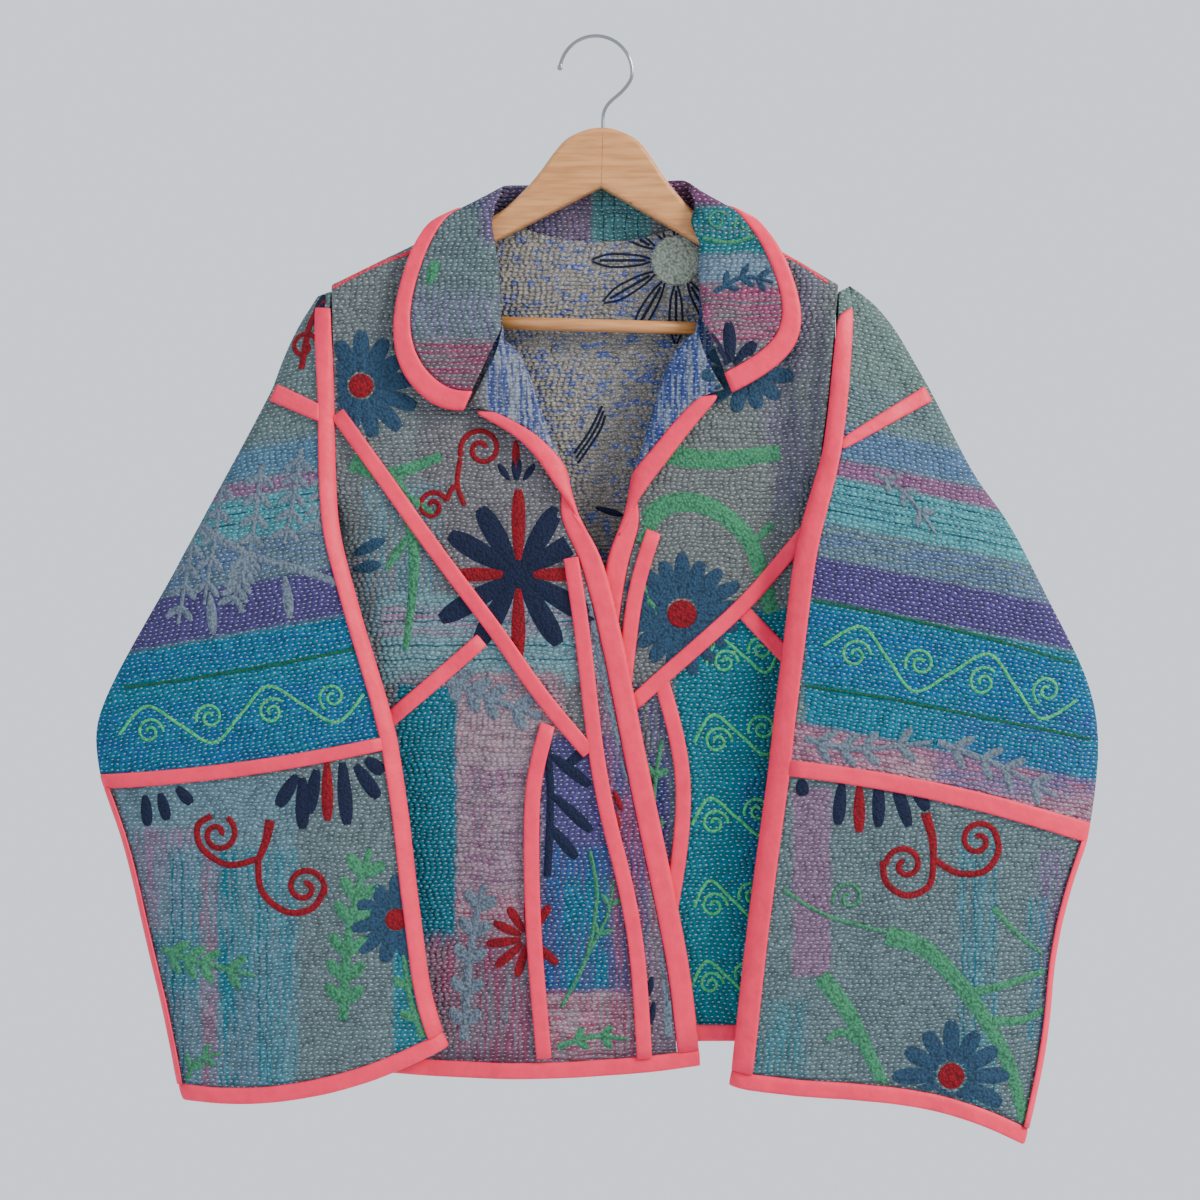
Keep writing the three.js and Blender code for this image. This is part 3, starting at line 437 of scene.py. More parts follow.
def merged_copy(node: str, name: str) -> bpy.types.Object:
    """A copy of a solid with its doubled corners merged and its triangles joined.

    Args:
        node: The solid's node.
        name: The copy's name.

    Returns:
        The copy, linked to the scene.
    """
    mesh = bpy.data.objects[node].data.copy()
    shape = bmesh.new()
    shape.from_mesh(mesh)
    bmesh.ops.remove_doubles(shape, verts=shape.verts, dist=0.01 * MM)
    bmesh.ops.join_triangles(
        shape, faces=shape.faces, angle_face_threshold=0.9, angle_shape_threshold=1.6, cmp_seam=False, cmp_sharp=False
    )
    shape.to_mesh(mesh)
    shape.free()
    mesh.materials.clear()
    copy = bpy.data.objects.new(name, mesh)
    bpy.context.scene.collection.objects.link(copy)
    return copy


def sides_between(shape: bmesh.types.BMesh, rims: set) -> list[list[bmesh.types.BMFace]]:
    """The sides of a shape, each a group of faces that no rim parts.

    Args:
        shape: The shape.
        rims: Its sharp edges.

    Returns:
        The faces of each side.
    """
    seen: set = set()
    sides = []
    for first in shape.faces:
        if first in seen:
            continue
        seen.add(first)
        side, waiting = [], [first]
        while waiting:
            face = waiting.pop()
            side.append(face)
            for edge in face.edges:
                for other in edge.link_faces if edge not in rims else ():
                    if other not in seen:
                        seen.add(other)
                        waiting.append(other)
        sides.append(side)
    return sides


def smoothed(piece: bpy.types.Object, levels: int, sharp: float, crease: float) -> None:
    """Subdivides a piece for good, with its sharp rims held.

    Args:
        piece: The piece.
        levels: Times each face is cut.
        sharp: Angle of a rim that is held, in radians.
        crease: How firmly a rim is held, 0 to 1.
    """
    shape = bmesh.new()
    shape.from_mesh(piece.data)
    layer = shape.edges.layers.float.new("crease_edge")
    rims = {edge for edge in shape.edges if len(edge.link_faces) == 2 and edge.calc_face_angle(0.0) > sharp}
    for edge in rims:
        edge[layer] = crease
    for side in sides_between(shape, rims):
        if sum(face.calc_area() for face in side) < CUT_END * MM * MM:
            for edge in {edge for face in side for edge in face.edges} & rims:
                edge[layer] = 1.0
    shape.to_mesh(piece.data)
    shape.free()
    cut = piece.modifiers.new("rounding", "SUBSURF")
    cut.levels = levels
    cut.render_levels = levels
    bpy.context.view_layer.update()
    ready = piece.evaluated_get(bpy.context.evaluated_depsgraph_get())
    fine = bpy.data.meshes.new_from_object(ready)
    piece.modifiers.clear()
    piece.data = fine
    for face in fine.polygons:
        face.use_smooth = True


def step_between(low: float, high: float, value: float) -> float:
    """A smooth step from 0 at low to 1 at high."""
    t = min(max((value - low) / (high - low), 0.0), 1.0)
    return t * t * (3 - 2 * t)


def dress(piece: bpy.types.Object, finish: bpy.types.Material, node: str | None) -> bpy.types.Object:
    """Gives a piece its finish and body, and hides the solid that it replaces.

    Args:
        piece: The piece.
        finish: Its material.
        node: The solid that it replaces, if any.

    Returns:
        The piece.
    """
    piece.data.materials.clear()
    piece.data.materials.append(finish)
    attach(piece, "root")
    if node:
        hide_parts(node)
    LOG.info("%s: %d faces", piece.name, len(piece.data.polygons))
    return piece


@dataclass
class QuiltedPiece:
    """One panel of quilted cloth, made on its solid."""

    node: str
    slot: str
    cloth: KanthaCloth
    flat: tuple[float, float]
    area: float
    levels: int = 2
    creases: tuple[Crease, ...] = ()
    front_of: float | None = None
    pucker: float = 0.7

    def lift(self, x: float, z: float) -> float:
        """How far the creases push a place forward, in millimetres.

        Args:
            x: Width of the place.
            z: Height of the place.

        Returns:
            The push.
        """
        total = 0.0
        for crease in self.creases:
            (x0, z0), (x1, z1) = crease.start, crease.end
            run = Vector((x1 - x0, z1 - z0))
            t = Vector((x - x0, z - z0)).dot(run) / run.length_squared
            ends = step_between(-0.15, 0.15, t) * step_between(1.15, 0.85, t)
            off = (Vector((x - x0, z - z0)) - run * t).length
            total += crease.depth * ends * math.exp(-((off / crease.width) ** 2))
        return total

    def bend(self, mesh: bpy.types.Mesh) -> None:
        """Creases and puckers a mesh of the panel or of what is sewn to it.

        Args:
            mesh: The mesh that is moved.
        """
        for vertex in mesh.vertices:
            x, y, z = vertex.co / MM
            part = 1.0 if self.front_of is None else step_between(self.front_of + 2.5, self.front_of - 2.5, y)
            soft = self.pucker * noise.noise(Vector((x, z, 0.0)) * 0.055)
            ripple = 0.5 * self.pucker * noise.noise(Vector((x * 0.1, z * 0.22, y * 0.02)))
            vertex.co.y -= (1.3 * part * self.lift(x, z) + soft + ripple) * MM

    def build(self) -> bpy.types.Object:
        """Makes the panel.

        Returns:
            The dressed panel.
        """
        piece = merged_copy(self.node, f"{self.node}_cloth")
        smoothed(piece, self.levels, RIM_ANGLE, 1.0)
        self.bend(piece.data)
        dress(piece, self.cloth.build(), self.node)
        return piece


@dataclass
class BoundEdge:
    """A strip of binding, made on its solid and rounded."""

    node: str
    panel: QuiltedPiece
    reach: float = 0.0
    levels: int = 2
    held: float = 0.12
    full: float = 0.75

    def lengthen(self, mesh: bpy.types.Mesh) -> None:
        """Runs each cut end on, so that it meets the binding that crosses it.

        Args:
            mesh: The strip's mesh.
        """
        shape = bmesh.new()
        shape.from_mesh(mesh)
        shape.normal_update()
        rims = {edge for edge in shape.edges if len(edge.link_faces) == 2 and edge.calc_face_angle(0.0) > RIM_ANGLE}
        for side in sides_between(shape, rims):
            if sum(face.calc_area() for face in side) < CUT_END * MM * MM:
                ahead = sum((face.normal * face.calc_area() for face in side), Vector()).normalized()
                end = list({vertex for face in side for vertex in face.verts})
                bmesh.ops.translate(shape, verts=end, vec=ahead * self.reach * MM)
        shape.to_mesh(mesh)
        shape.free()

    def build(self, finish: bpy.types.Material) -> bpy.types.Object:
        """Makes the strip.

        Args:
            finish: The binding's material.

        Returns:
            The dressed strip.
        """
        piece = merged_copy(self.node, f"{self.node}_twill")
        self.lengthen(piece.data)
        smoothed(piece, self.levels, RIM_ANGLE, self.held)
        normals = [vertex.normal.copy() for vertex in piece.data.vertices]
        for vertex, normal in zip(piece.data.vertices, normals):
            vertex.co += normal * self.full * MM
        self.panel.bend(piece.data)
        return dress(piece, finish, self.node)


def smooth_path(points: Sequence[Point], steps: int) -> list[Vector]:
    """A smooth line through points.

    Args:
        points: The points, in millimetres.
        steps: Steps between two points.

    Returns:
        The line's points.
    """
    line = [Vector(p) for p in points]
    path = []
    for k in range(len(line) - 1):
        a, b, c, d = line[max(k - 1, 0)], line[k], line[k + 1], line[min(k + 2, len(line) - 1)]
        for s in range(steps):
            t = s / steps
            path.append(
                b + ((c - a) * t + (2 * a - 5 * b + 4 * c - d) * t * t + (3 * b - a - 3 * c + d) * t * t * t) * 0.5
            )
    path.append(line[-1])
    return path


@dataclass
class Embroidery:
    """Motifs worked in one colour of thread on the front face of a panel."""

    name: str
    slot: str
    thread: ChainThread
    ground: BVHTree
    rise: float = 0.8
    shape: bmesh.types.BMesh = field(default_factory=bmesh.new)

    def surface(self, x: float, z: float) -> Vector | None:
        """The panel's front at a place, or None beside the panel."""
        return self.ground.ray_cast(Vector((x * MM, -0.3, z * MM)), Vector((0.0, 1.0, 0.0)))[0]

    def swath(self, path: Sequence[Vector], widths: Sequence[float], columns: int = 4) -> None:
        """Lays a strip of stitching along a line, domed across.

        Args:
            path: The line's points.
            widths: The strip's width at each.
            columns: Faces across it.
        """
        missing = []
        last: list[bmesh.types.BMVert] = []
        for k, centre in enumerate(path):
            ahead = path[min(k + 1, len(path) - 1)] - path[max(k - 1, 0)]
            beside = Vector((-ahead.y, ahead.x)).normalized()
            places = [centre + beside * widths[k] * (c / columns - 0.5) for c in range(columns + 1)]
            if not last:
                last = [self.shape.verts.new() for _ in places]
                for a, b in zip(last, last[1:]):
                    self.shape.edges.new((a, b))
            else:
                edges = [self.shape.edges.get((a, b)) for a, b in zip(last, last[1:])]
                made = bmesh.ops.extrude_edge_only(self.shape, edges=edges)
                fresh = [v for v in made["geom"] if isinstance(v, bmesh.types.BMVert)]
                follow = {edge.other_vert(v): v for v in fresh for edge in v.link_edges if edge.other_vert(v) in last}
                last = [follow[v] for v in last]
            for c, (vertex, place) in enumerate(zip(last, places)):
                hit = self.surface(place.x, place.y)
                dome = 1.0 - abs(2 * c / columns - 1) ** 2.5
                if hit is None:
                    missing.append(vertex)
                    vertex.co = (place.x * MM, 0.0, place.y * MM)
                else:
                    vertex.co = hit + Vector((0.0, -(0.1 + self.rise * dome) * MM, 0.0))
        bmesh.ops.delete(self.shape, geom=missing, context="VERTS")

    def stem(self, points: Sequence[Point], width: float, taper: float = 1.0) -> None:
        """A stem along points, narrowing to taper times its width.

        Args:
            points: Points of its line.
            width: Its width at the start.
            taper: Its width at the end as a share of that.
        """
        path = smooth_path(points, 7)
        count = len(path) - 1
        self.swath(path, [width * (1 + (taper - 1) * k / count) for k in range(count + 1)])

    def petal(self, base: Point, tip: Point, width: float, blunt: float = 0.5) -> None:
        """A petal or leaf from its base to its tip.

        Args:
            base: Where it starts.
            tip: Where it ends.
            width: Its greatest width.
            blunt: 1 for a round end, less for a point.
        """
        steps = 9
        start, end = Vector(base), Vector(tip)
        path = [start.lerp(end, k / steps) for k in range(steps + 1)]
        widths = []
        for k in range(steps + 1):
            t = k / steps
            full = math.sin(math.pi * min(max(0.08 + 0.88 * t, 0.0), 1.0)) ** (0.9 - 0.5 * blunt)
            widths.append(max(0.6, width * full * (0.72 + 0.36 * t)))
        self.swath(path, widths)

    def flower(
        self, centre: Point, radius: float, petals: int, inner: float, width: float, skip: tuple[int, ...] = ()
    ) -> None:
        """A ring of petals round a centre.

        Args:
            centre: The flower's centre.
            radius: Its outer radius.
            petals: How many petals go round.
            inner: Radius where they start.
            width: A petal's width.
            skip: Numbers of petals left out.
        """
        for k in range(petals):
            if k in skip:
                continue
            angle = math.tau * k / petals + math.pi / 2
            ray = Vector((math.cos(angle), math.sin(angle)))
            long = radius * (0.94 + 0.08 * math.sin(5.0 * k))
            middle = Vector(centre)
            self.petal(tuple(middle + ray * inner), tuple(middle + ray * long), width, 1.0)

    def disc(self, centre: Point, radius: float) -> None:
        """A round heart of close stitching.

        Args:
            centre: Its centre.
            radius: Its radius.
        """
        steps = 10
        path, widths = [], []
        for k in range(steps + 1):
            t = math.cos(math.pi * (1 - k / steps))
            path.append(Vector(centre) + Vector((radius * t, 0.0)))
            widths.append(max(0.5, 2 * radius * math.sqrt(max(0.0, 1 - t * t))))
        self.swath(path, widths, 6)

    def spiral(self, centre: Point, radius: float, start: float, turns: float, width: float) -> None:
        """A curl wound inward.

        Args:
            centre: Its middle.
            radius: Its outer radius.
            start: The angle where it starts, in degrees.
            turns: Turns, negative for clockwise.
            width: The line's width.
        """
        count = int(26 * abs(turns))
        path = []
        for k in range(count + 1):
            t = k / count
            angle = math.radians(start) + math.tau * turns * t
            reach = radius * (1 - 0.82 * t)
            path.append(Vector(centre) + Vector((math.cos(angle), math.sin(angle))) * reach)
        self.swath(path, [width] * (count + 1))

    def scroll(self, start: Point, end: Point, curls: int, swing: float) -> None:
        """A thin wave with a curl in each bend.

        Args:
            start: Where it starts.
            end: Where it ends.
            curls: How many bends.
            swing: How far it swings to each side.
        """
        first, last = Vector(start), Vector(end)
        side = Vector((first.y - last.y, last.x - first.x)).normalized()
        points = []
        for k in range(2 * curls + 1):
            swung = swing * math.sin(k * math.pi / 2)
            points.append(tuple(first.lerp(last, k / (2 * curls)) + side * swung))
        self.stem(points, 2.4)
        for k in range(curls):
            bend = 1 if k % 2 == 0 else -1
            middle = first.lerp(last, (2 * k + 1) / (2 * curls)) - side * 0.1 * swing * bend
            self.spiral(tuple(middle), 0.6 * swing, 200.0 * k, 1.5 * bend, 2.2)

    def branch(self, points: Sequence[Point], width: float, leaf: float, leaves: int) -> None:
        """A stem with leaves in pairs.

        Args:
            points: The stem's points.
            width: The stem's width.
            leaf: A leaf's length.
            leaves: How many pairs.
        """
        self.stem(points, width, 0.6)
        path = smooth_path(points, 12)
        for k in range(leaves):
            place = path[int((k + 1) / (leaves + 1) * (len(path) - 2))]
            ahead = (path[min(path.index(place) + 1, len(path) - 1)] - place).normalized()
            for side in (1, -1):
                ray = (ahead * 0.75 + Vector((-ahead.y, ahead.x)) * 0.75 * side).normalized()
                self.petal(tuple(place), tuple(place + ray * leaf), width * 1.35, 0.6)

    def build(self) -> bpy.types.Object:
        """Joins the motifs in one piece.

        Returns:
            The dressed piece.
        """
        bmesh.ops.recalc_face_normals(self.shape, faces=self.shape.faces)
        mesh = bpy.data.meshes.new(self.name)
        self.shape.to_mesh(mesh)
        self.shape.free()
        toward = sum(face.normal.y * face.area for face in mesh.polygons)
        if toward > 0:
            mesh.flip_normals()
        for face in mesh.polygons:
            face.use_smooth = True
        piece = bpy.data.objects.new(self.name, mesh)
        bpy.context.scene.collection.objects.link(piece)
        return dress(piece, self.thread.build(), None)


def laid(across: float, down: float) -> Point:
    """Gives a point of the layout sheet, whose squares are 0.78 mm, in the frame.

    Args:
        across: Squares from the sheet's left edge.
        down: Squares from its top edge.

    Returns:
        The x and z in millimetres.
    """
    x = (across - SHEET_ORIGIN[0]) * UNIT + FRAME_ORIGIN[0]
    return x, (SHEET_ORIGIN[1] - down) * UNIT + FRAME_ORIGIN[1]

SLEEVE_RIGHT = (
    Patch(-393.2, -194.3, -315.8, -187.1, "596C6B", 1, 4, slanted=True),
    Patch(-393.2, -159.2, -347, -323.6, "426A83", 0.9, 5, slanted=True),
    Patch(-393.2, -159.2, -361.1, -348.6, "714F70", 0.9, 3, slanted=True),
    Patch(-393.2, -159.2, -393.8, -361.1, "3F8089", 1, 4, slanted=True),
    Patch(-393.2, -159.2, -366.9, -365.7, "064156", 0.9, 0.4, slanted=True),
    Patch(-393.2, -159.2, -373.2, -372, "064156", 0.9, 0.4, slanted=True),
    Patch(-393.2, -159.2, -381, -379.8, "064156", 0.9, 0.4, slanted=True),
    Patch(-393.2, -159.2, -425, -393.8, "445B7D", 0.9, 5, Grain.ACROSS, True),
    Patch(-393.2, -159.2, -464.8, -427.4, "3E3469", 0.95, 3, slanted=True),
    Patch(-393.2, -159.2, -584.9, -466.4, "09647B", 1, 3, slanted=True),
    Patch(-393.2, -159.2, -489.8, -467.9, "094783", 0.6, 8, Grain.ACROSS, True),
    Patch(-393.2, -159.2, -584.9, -506.9, "094785", 0.6, 8, Grain.ACROSS, True),
    Patch(-245, -194.3, -296.3, -202.7, "61767C", 0.6, 8, Grain.UPRIGHT),
)
SLEEVE_RIGHT_LOW = (
    Patch(-369.8, -229.4, -826.7, -577.1, "55717C", 1, 5),
    Patch(-354.2, -307.4, -694.1, -616.1, "765D75", 0.9, 6, Grain.UPRIGHT),
    Patch(-346.4, -260.6, -826.7, -740.9, "7A5E71", 0.9, 6, Grain.UPRIGHT),
    Patch(-330.8, -229.4, -818.9, -631.7, "296C7A", 0.8, 6, Grain.UPRIGHT),
    Patch(-326.2, -324.6, -826.7, -639.5, "075666", 0.9, 0.4),
    Patch(-303.5, -290.3, -826.7, -631.7, "7F5168", 0.8, 3, Grain.UPRIGHT),
    Patch(-290.3, -276.2, -826.7, -631.7, "086271", 0.8, 3, Grain.UPRIGHT),
    Patch(-354.2, -329.3, -826.7, -701.9, "0E576A", 0.8, 5, Grain.UPRIGHT),
    Patch(-318.4, -317.2, -826.7, -639.5, "075666", 0.9, 0.4),
    Patch(-259.1, -257.5, -811.1, -655.1, "075666", 0.8, 0.4),
    Patch(-252.8, -251.7, -811.1, -655.1, "075666", 0.8, 0.4),
    Patch(-155.3, -112.4, -795.5, -670.7, "086473", 0.9, 3),
)
SLEEVE_LEFT = (
    Patch(152.8, 277.6, -280.7, -179.3, "566C69", 1, 4, slanted=True),
    Patch(160.6, 402.4, -341.6, -315.8, "436181", 0.95, 5, slanted=True),
    Patch(160.6, 402.4, -357.2, -343.1, "72486C", 0.95, 3, slanted=True),
    Patch(160.6, 402.4, -393.8, -357.2, "3F828A", 1, 3, slanted=True),
    Patch(160.6, 402.4, -363, -361.8, "064156", 0.9, 0.4, slanted=True),
    Patch(160.6, 402.4, -370, -368.9, "064156", 0.9, 0.4, slanted=True),
    Patch(160.6, 402.4, -377.1, -375.9, "064156", 0.9, 0.4, slanted=True),
    Patch(160.6, 402.4, -384.1, -382.9, "064156", 0.9, 0.4, slanted=True),
    Patch(160.6, 402.4, -419.6, -395.4, "435A7F", 0.9, 4, Grain.ACROSS, True),
    Patch(160.6, 402.4, -453.9, -421.1, "3E3269", 0.95, 3, slanted=True),
    Patch(160.6, 402.4, -552.2, -455.4, "09647B", 1, 3, slanted=True),
    Patch(160.6, 402.4, -514.7, -461.7, "094684", 0.65, 8, Grain.ACROSS, True),
    Patch(145, 402.4, -592.7, -552.2, "884F6B", 0.95, 4, slanted=True),
    Patch(145, 402.4, -584.9, -557.6, "93818A", 0.7, 6, Grain.ACROSS, True),
    Patch(262, 402.4, -592.7, -526.4, "244380", 0.6, 10, Grain.ACROSS),
)
SLEEVE_LEFT_LOW = (
    Patch(151.2, 180.1, -729.2, -584.9, "735971", 0.95, 3),
    Patch(113.8, 160.6, -826.7, -748.7, "296C78", 0.7, 8, Grain.UPRIGHT),
    Patch(277.6, 308.8, -842.3, -616.1, "36717F", 0.7, 5, Grain.UPRIGHT),
    Patch(281.5, 282.6, -850.1, -631.7, "075666", 0.8, 0.4),
    Patch(290, 291.2, -850.1, -631.7, "075666", 0.8, 0.4),
    Patch(304.9, 306, -850.1, -631.7, "075666", 0.8, 0.4),
    Patch(340, 363.4, -779.9, -631.7, "644C73", 0.8, 5, Grain.UPRIGHT),
    Patch(332.2, 347.8, -779.9, -670.7, "166376", 0.8, 4, Grain.UPRIGHT),
)
FRONT_RIGHT = (
    Patch(-207.6, -135.8, -405.5, -163.7, "5E6869", 0.9, 6),
    Patch(-135.8, -26.6, -405.5, -304.1, "615F63", 0.9, 8),
    Patch(-182.6, -120.2, -467.9, -350.9, "496F7B", 0.8, 6, Grain.UPRIGHT),
    Patch(-167, 82.6, -506.9, -436.7, "5C7F86", 1, 4),
    Patch(-167, 82.6, -467.9, -446.1, "816077", 0.8, 4, Grain.ACROSS),
    Patch(-167, -11, -451.9, -450.8, "074D5D", 0.9, 0.4),
    Patch(-167, -11, -458.2, -457, "074D5D", 0.9, 0.4),
    Patch(-167, -11, -476.9, -475.7, "074D5D", 0.9, 0.4),
    Patch(-167, -11, -487.8, -486.6, "074D5D", 0.9, 0.4),
    Patch(-155.3, -26.6, -811.1, -499.1, "64646E", 1, 6),
    Patch(-128, -26.6, -701.9, -497.6, "8B3555", 0.95, 4, Grain.UPRIGHT),
    Patch(-128, -26.6, -670.7, -561.5, "685C7D", 0.55, 8, Grain.UPRIGHT),
    Patch(-128, -26.6, -701.9, -514.7, "968089", 0.7, 6, Grain.ACROSS),
    Patch(-128, -26.6, -569.3, -497.6, "9A8D91", 0.5, 6, Grain.UPRIGHT),
    Patch(-155.3, -108.5, -709.7, -506.9, "085B6D", 0.98, 3),
    Patch(-155.3, -120.2, -803.3, -701.9, "814560", 0.8, 6, Grain.UPRIGHT),
    Patch(-124.1, -38.3, -811.1, -701.9, "7D3452", 0.85, 5, Grain.UPRIGHT),
    Patch(-42.2, 39.7, -748.7, -545.9, "413E6A", 1, 5),
    Patch(-42.2, 39.7, -744.8, -631.7, "09487B", 0.9, 5, Grain.UPRIGHT),
    Patch(-26.6, 39.7, -744.8, -655.1, "086673", 0.6, 6, Grain.UPRIGHT),
    Patch(-42.2, 39.7, -803.3, -744.8, "8A2F53", 0.95, 3, Grain.UPRIGHT),
    Patch(-26.6, 4.6, -631.7, -561.5, "483D73", 0.8, 6, Grain.UPRIGHT),
    Patch(-42.2, 39.7, -803.3, -744.8, "9B8990", 0.6, 4, Grain.ACROSS),
    Patch(-14.9, 24.1, -514.7, -405.5, "7F445E", 0.75, 5, Grain.UPRIGHT),
    Patch(-3.2, 51.4, -592.7, -506.9, "744A69", 0.8, 6, Grain.UPRIGHT),
    Patch(12.4, 74.8, -803.3, -592.7, "813959", 0.85, 5, Grain.UPRIGHT),
    Patch(35.8, 74.8, -803.3, -694.1, "5A6474", 0.6, 6, Grain.UPRIGHT),
)
FRONT_LEFT = (
    Patch(20.2, 176.2, -335.3, -265.1, "5F6765", 0.9, 6),
    Patch(129.4, 176.2, -374.3, -163.7, "555066", 0.8, 10, Grain.UPRIGHT),
    Patch(35.8, 137.2, -467.9, -335.3, "606665", 0.9, 6),
    Patch(60.7, 160.6, -795.5, -448.4, "086272", 1, 4),
    Patch(113.8, 160.6, -772.1, -577.1, "094F82", 0.8, 8, Grain.UPRIGHT),
    Patch(4.6, 57.6, -795.5, -506.9, "413B68", 1, 4),
    Patch(28, 57.6, -577.1, -506.9, "606668", 0.8, 6, Grain.UPRIGHT),
    Patch(35.8, 57.6, -655.1, -561.5, "20366C", 0.7, 6, Grain.UPRIGHT),
    Patch(74.8, 113.8, -787.7, -670.7, "096E7A", 0.7, 8, Grain.UPRIGHT),
)
LAPEL_LEFT = (
    Patch(9.2, 91.9, -372, -163.7, "758091", 0.9, 3, lean=1.12),
    Patch(9.2, 91.9, -372, -163.7, "082E76", 0.85, 3, Grain.UPRIGHT, lean=1.12),
)
LAPEL_RIGHT = (
    Patch(-84.4, 7.7, -293.2, -163.7, "878D96", 0.95, 3, lean=-1.0),
    Patch(-84.4, 7.7, -293.2, -163.7, "082E76", 0.8, 3, Grain.UPRIGHT, lean=-1.0),
)
COLLAR = (
    Patch(-147.5, -73.4, -241.7, -105.2, "526467", 1, 5),
    Patch(-147.5, -73.4, -237.8, -202.7, "63617C", 0.8, 8, Grain.UPRIGHT),
    Patch(-147.5, -73.4, -296.3, -240.2, "7E3254", 0.9, 5, Grain.ACROSS),
    Patch(-104.6, -46.1, -136.4, -106, "06224F", 0.85, 3, Grain.UPRIGHT),
    Patch(-89, -26.6, -163.7, -109.1, "524566", 0.9, 6),
    Patch(-26.6, -3.2, -163.7, -109.1, "66546F", 0.9, 3),
    Patch(-3.2, 43.6, -163.7, -109.1, "417476", 0.95, 3),
    Patch(4.6, 5.7, -163.7, -109.1, "06414F", 0.9, 0.4),
    Patch(13.9, 15.1, -163.7, -109.1, "06414F", 0.9, 0.4),
    Patch(23.3, 24.4, -163.7, -109.1, "06414F", 0.9, 0.4),
    Patch(32.6, 33.8, -163.7, -109.1, "06414F", 0.9, 0.4),
    Patch(55.3, 113.8, -136.4, -106, "5A2853", 0.9, 4),
    Patch(67, 160.6, -154.4, -134.1, "07606A", 0.95, 4),
    Patch(67, 160.6, -173.1, -154.4, "08646D", 0.95, 3),
    Patch(67, 160.6, -196.5, -173.1, "5B7388", 0.9, 5),
    Patch(67, 160.6, -243.3, -196.5, "883E60", 0.95, 4, Grain.ACROSS),
    Patch(67, 160.6, -280.7, -243.3, "615F68", 0.9, 4),
)
BACK = (
    Patch(-268.4, 277.6, -226.1, -155.9, "596C6B", 1, 5),
    Patch(-268.4, 277.6, -321.3, -280.7, "626864", 0.9, 5),
    Patch(-268.4, 277.6, -348.6, -323.6, "426A83", 0.9, 4),
    Patch(-268.4, 277.6, -362.6, -350.1, "714F70", 0.9, 3),
    Patch(-268.4, 277.6, -396.2, -362.6, "3F8089", 1, 3),
    Patch(-268.4, 277.6, -369.2, -368.1, "064156", 0.9, 0.4),
    Patch(-268.4, 277.6, -377.1, -375.9, "064156", 0.9, 0.4),
    Patch(-268.4, 277.6, -386.4, -385.2, "064156", 0.9, 0.4),
    Patch(-268.4, 277.6, -427.4, -397.7, "445B7D", 0.9, 4, Grain.ACROSS),
    Patch(-268.4, 277.6, -466.4, -428.9, "3E3469", 0.95, 3),
    Patch(-268.4, 277.6, -573.2, -467.9, "09647B", 1, 3),
    Patch(-268.4, 277.6, -514.7, -479.6, "094783", 0.6, 8, Grain.ACROSS),
    Patch(-268.4, 277.6, -623.9, -575.6, "8B3555", 0.9, 4, Grain.UPRIGHT),
    Patch(-268.4, 277.6, -826.7, -625.5, "56676A", 1, 3),
    Patch(-167, -96.8, -826.7, -625.5, "765D75", 0.9, 5, Grain.UPRIGHT),
    Patch(-26.6, 51.4, -826.7, -625.5, "296C7A", 0.9, 5, Grain.UPRIGHT),
    Patch(12.4, 13.9, -826.7, -625.5, "075666", 0.9, 0.4),
    Patch(21.7, 22.9, -826.7, -625.5, "075666", 0.9, 0.4),
    Patch(113.8, 160.6, -826.7, -625.5, "085B6D", 0.9, 4),
)


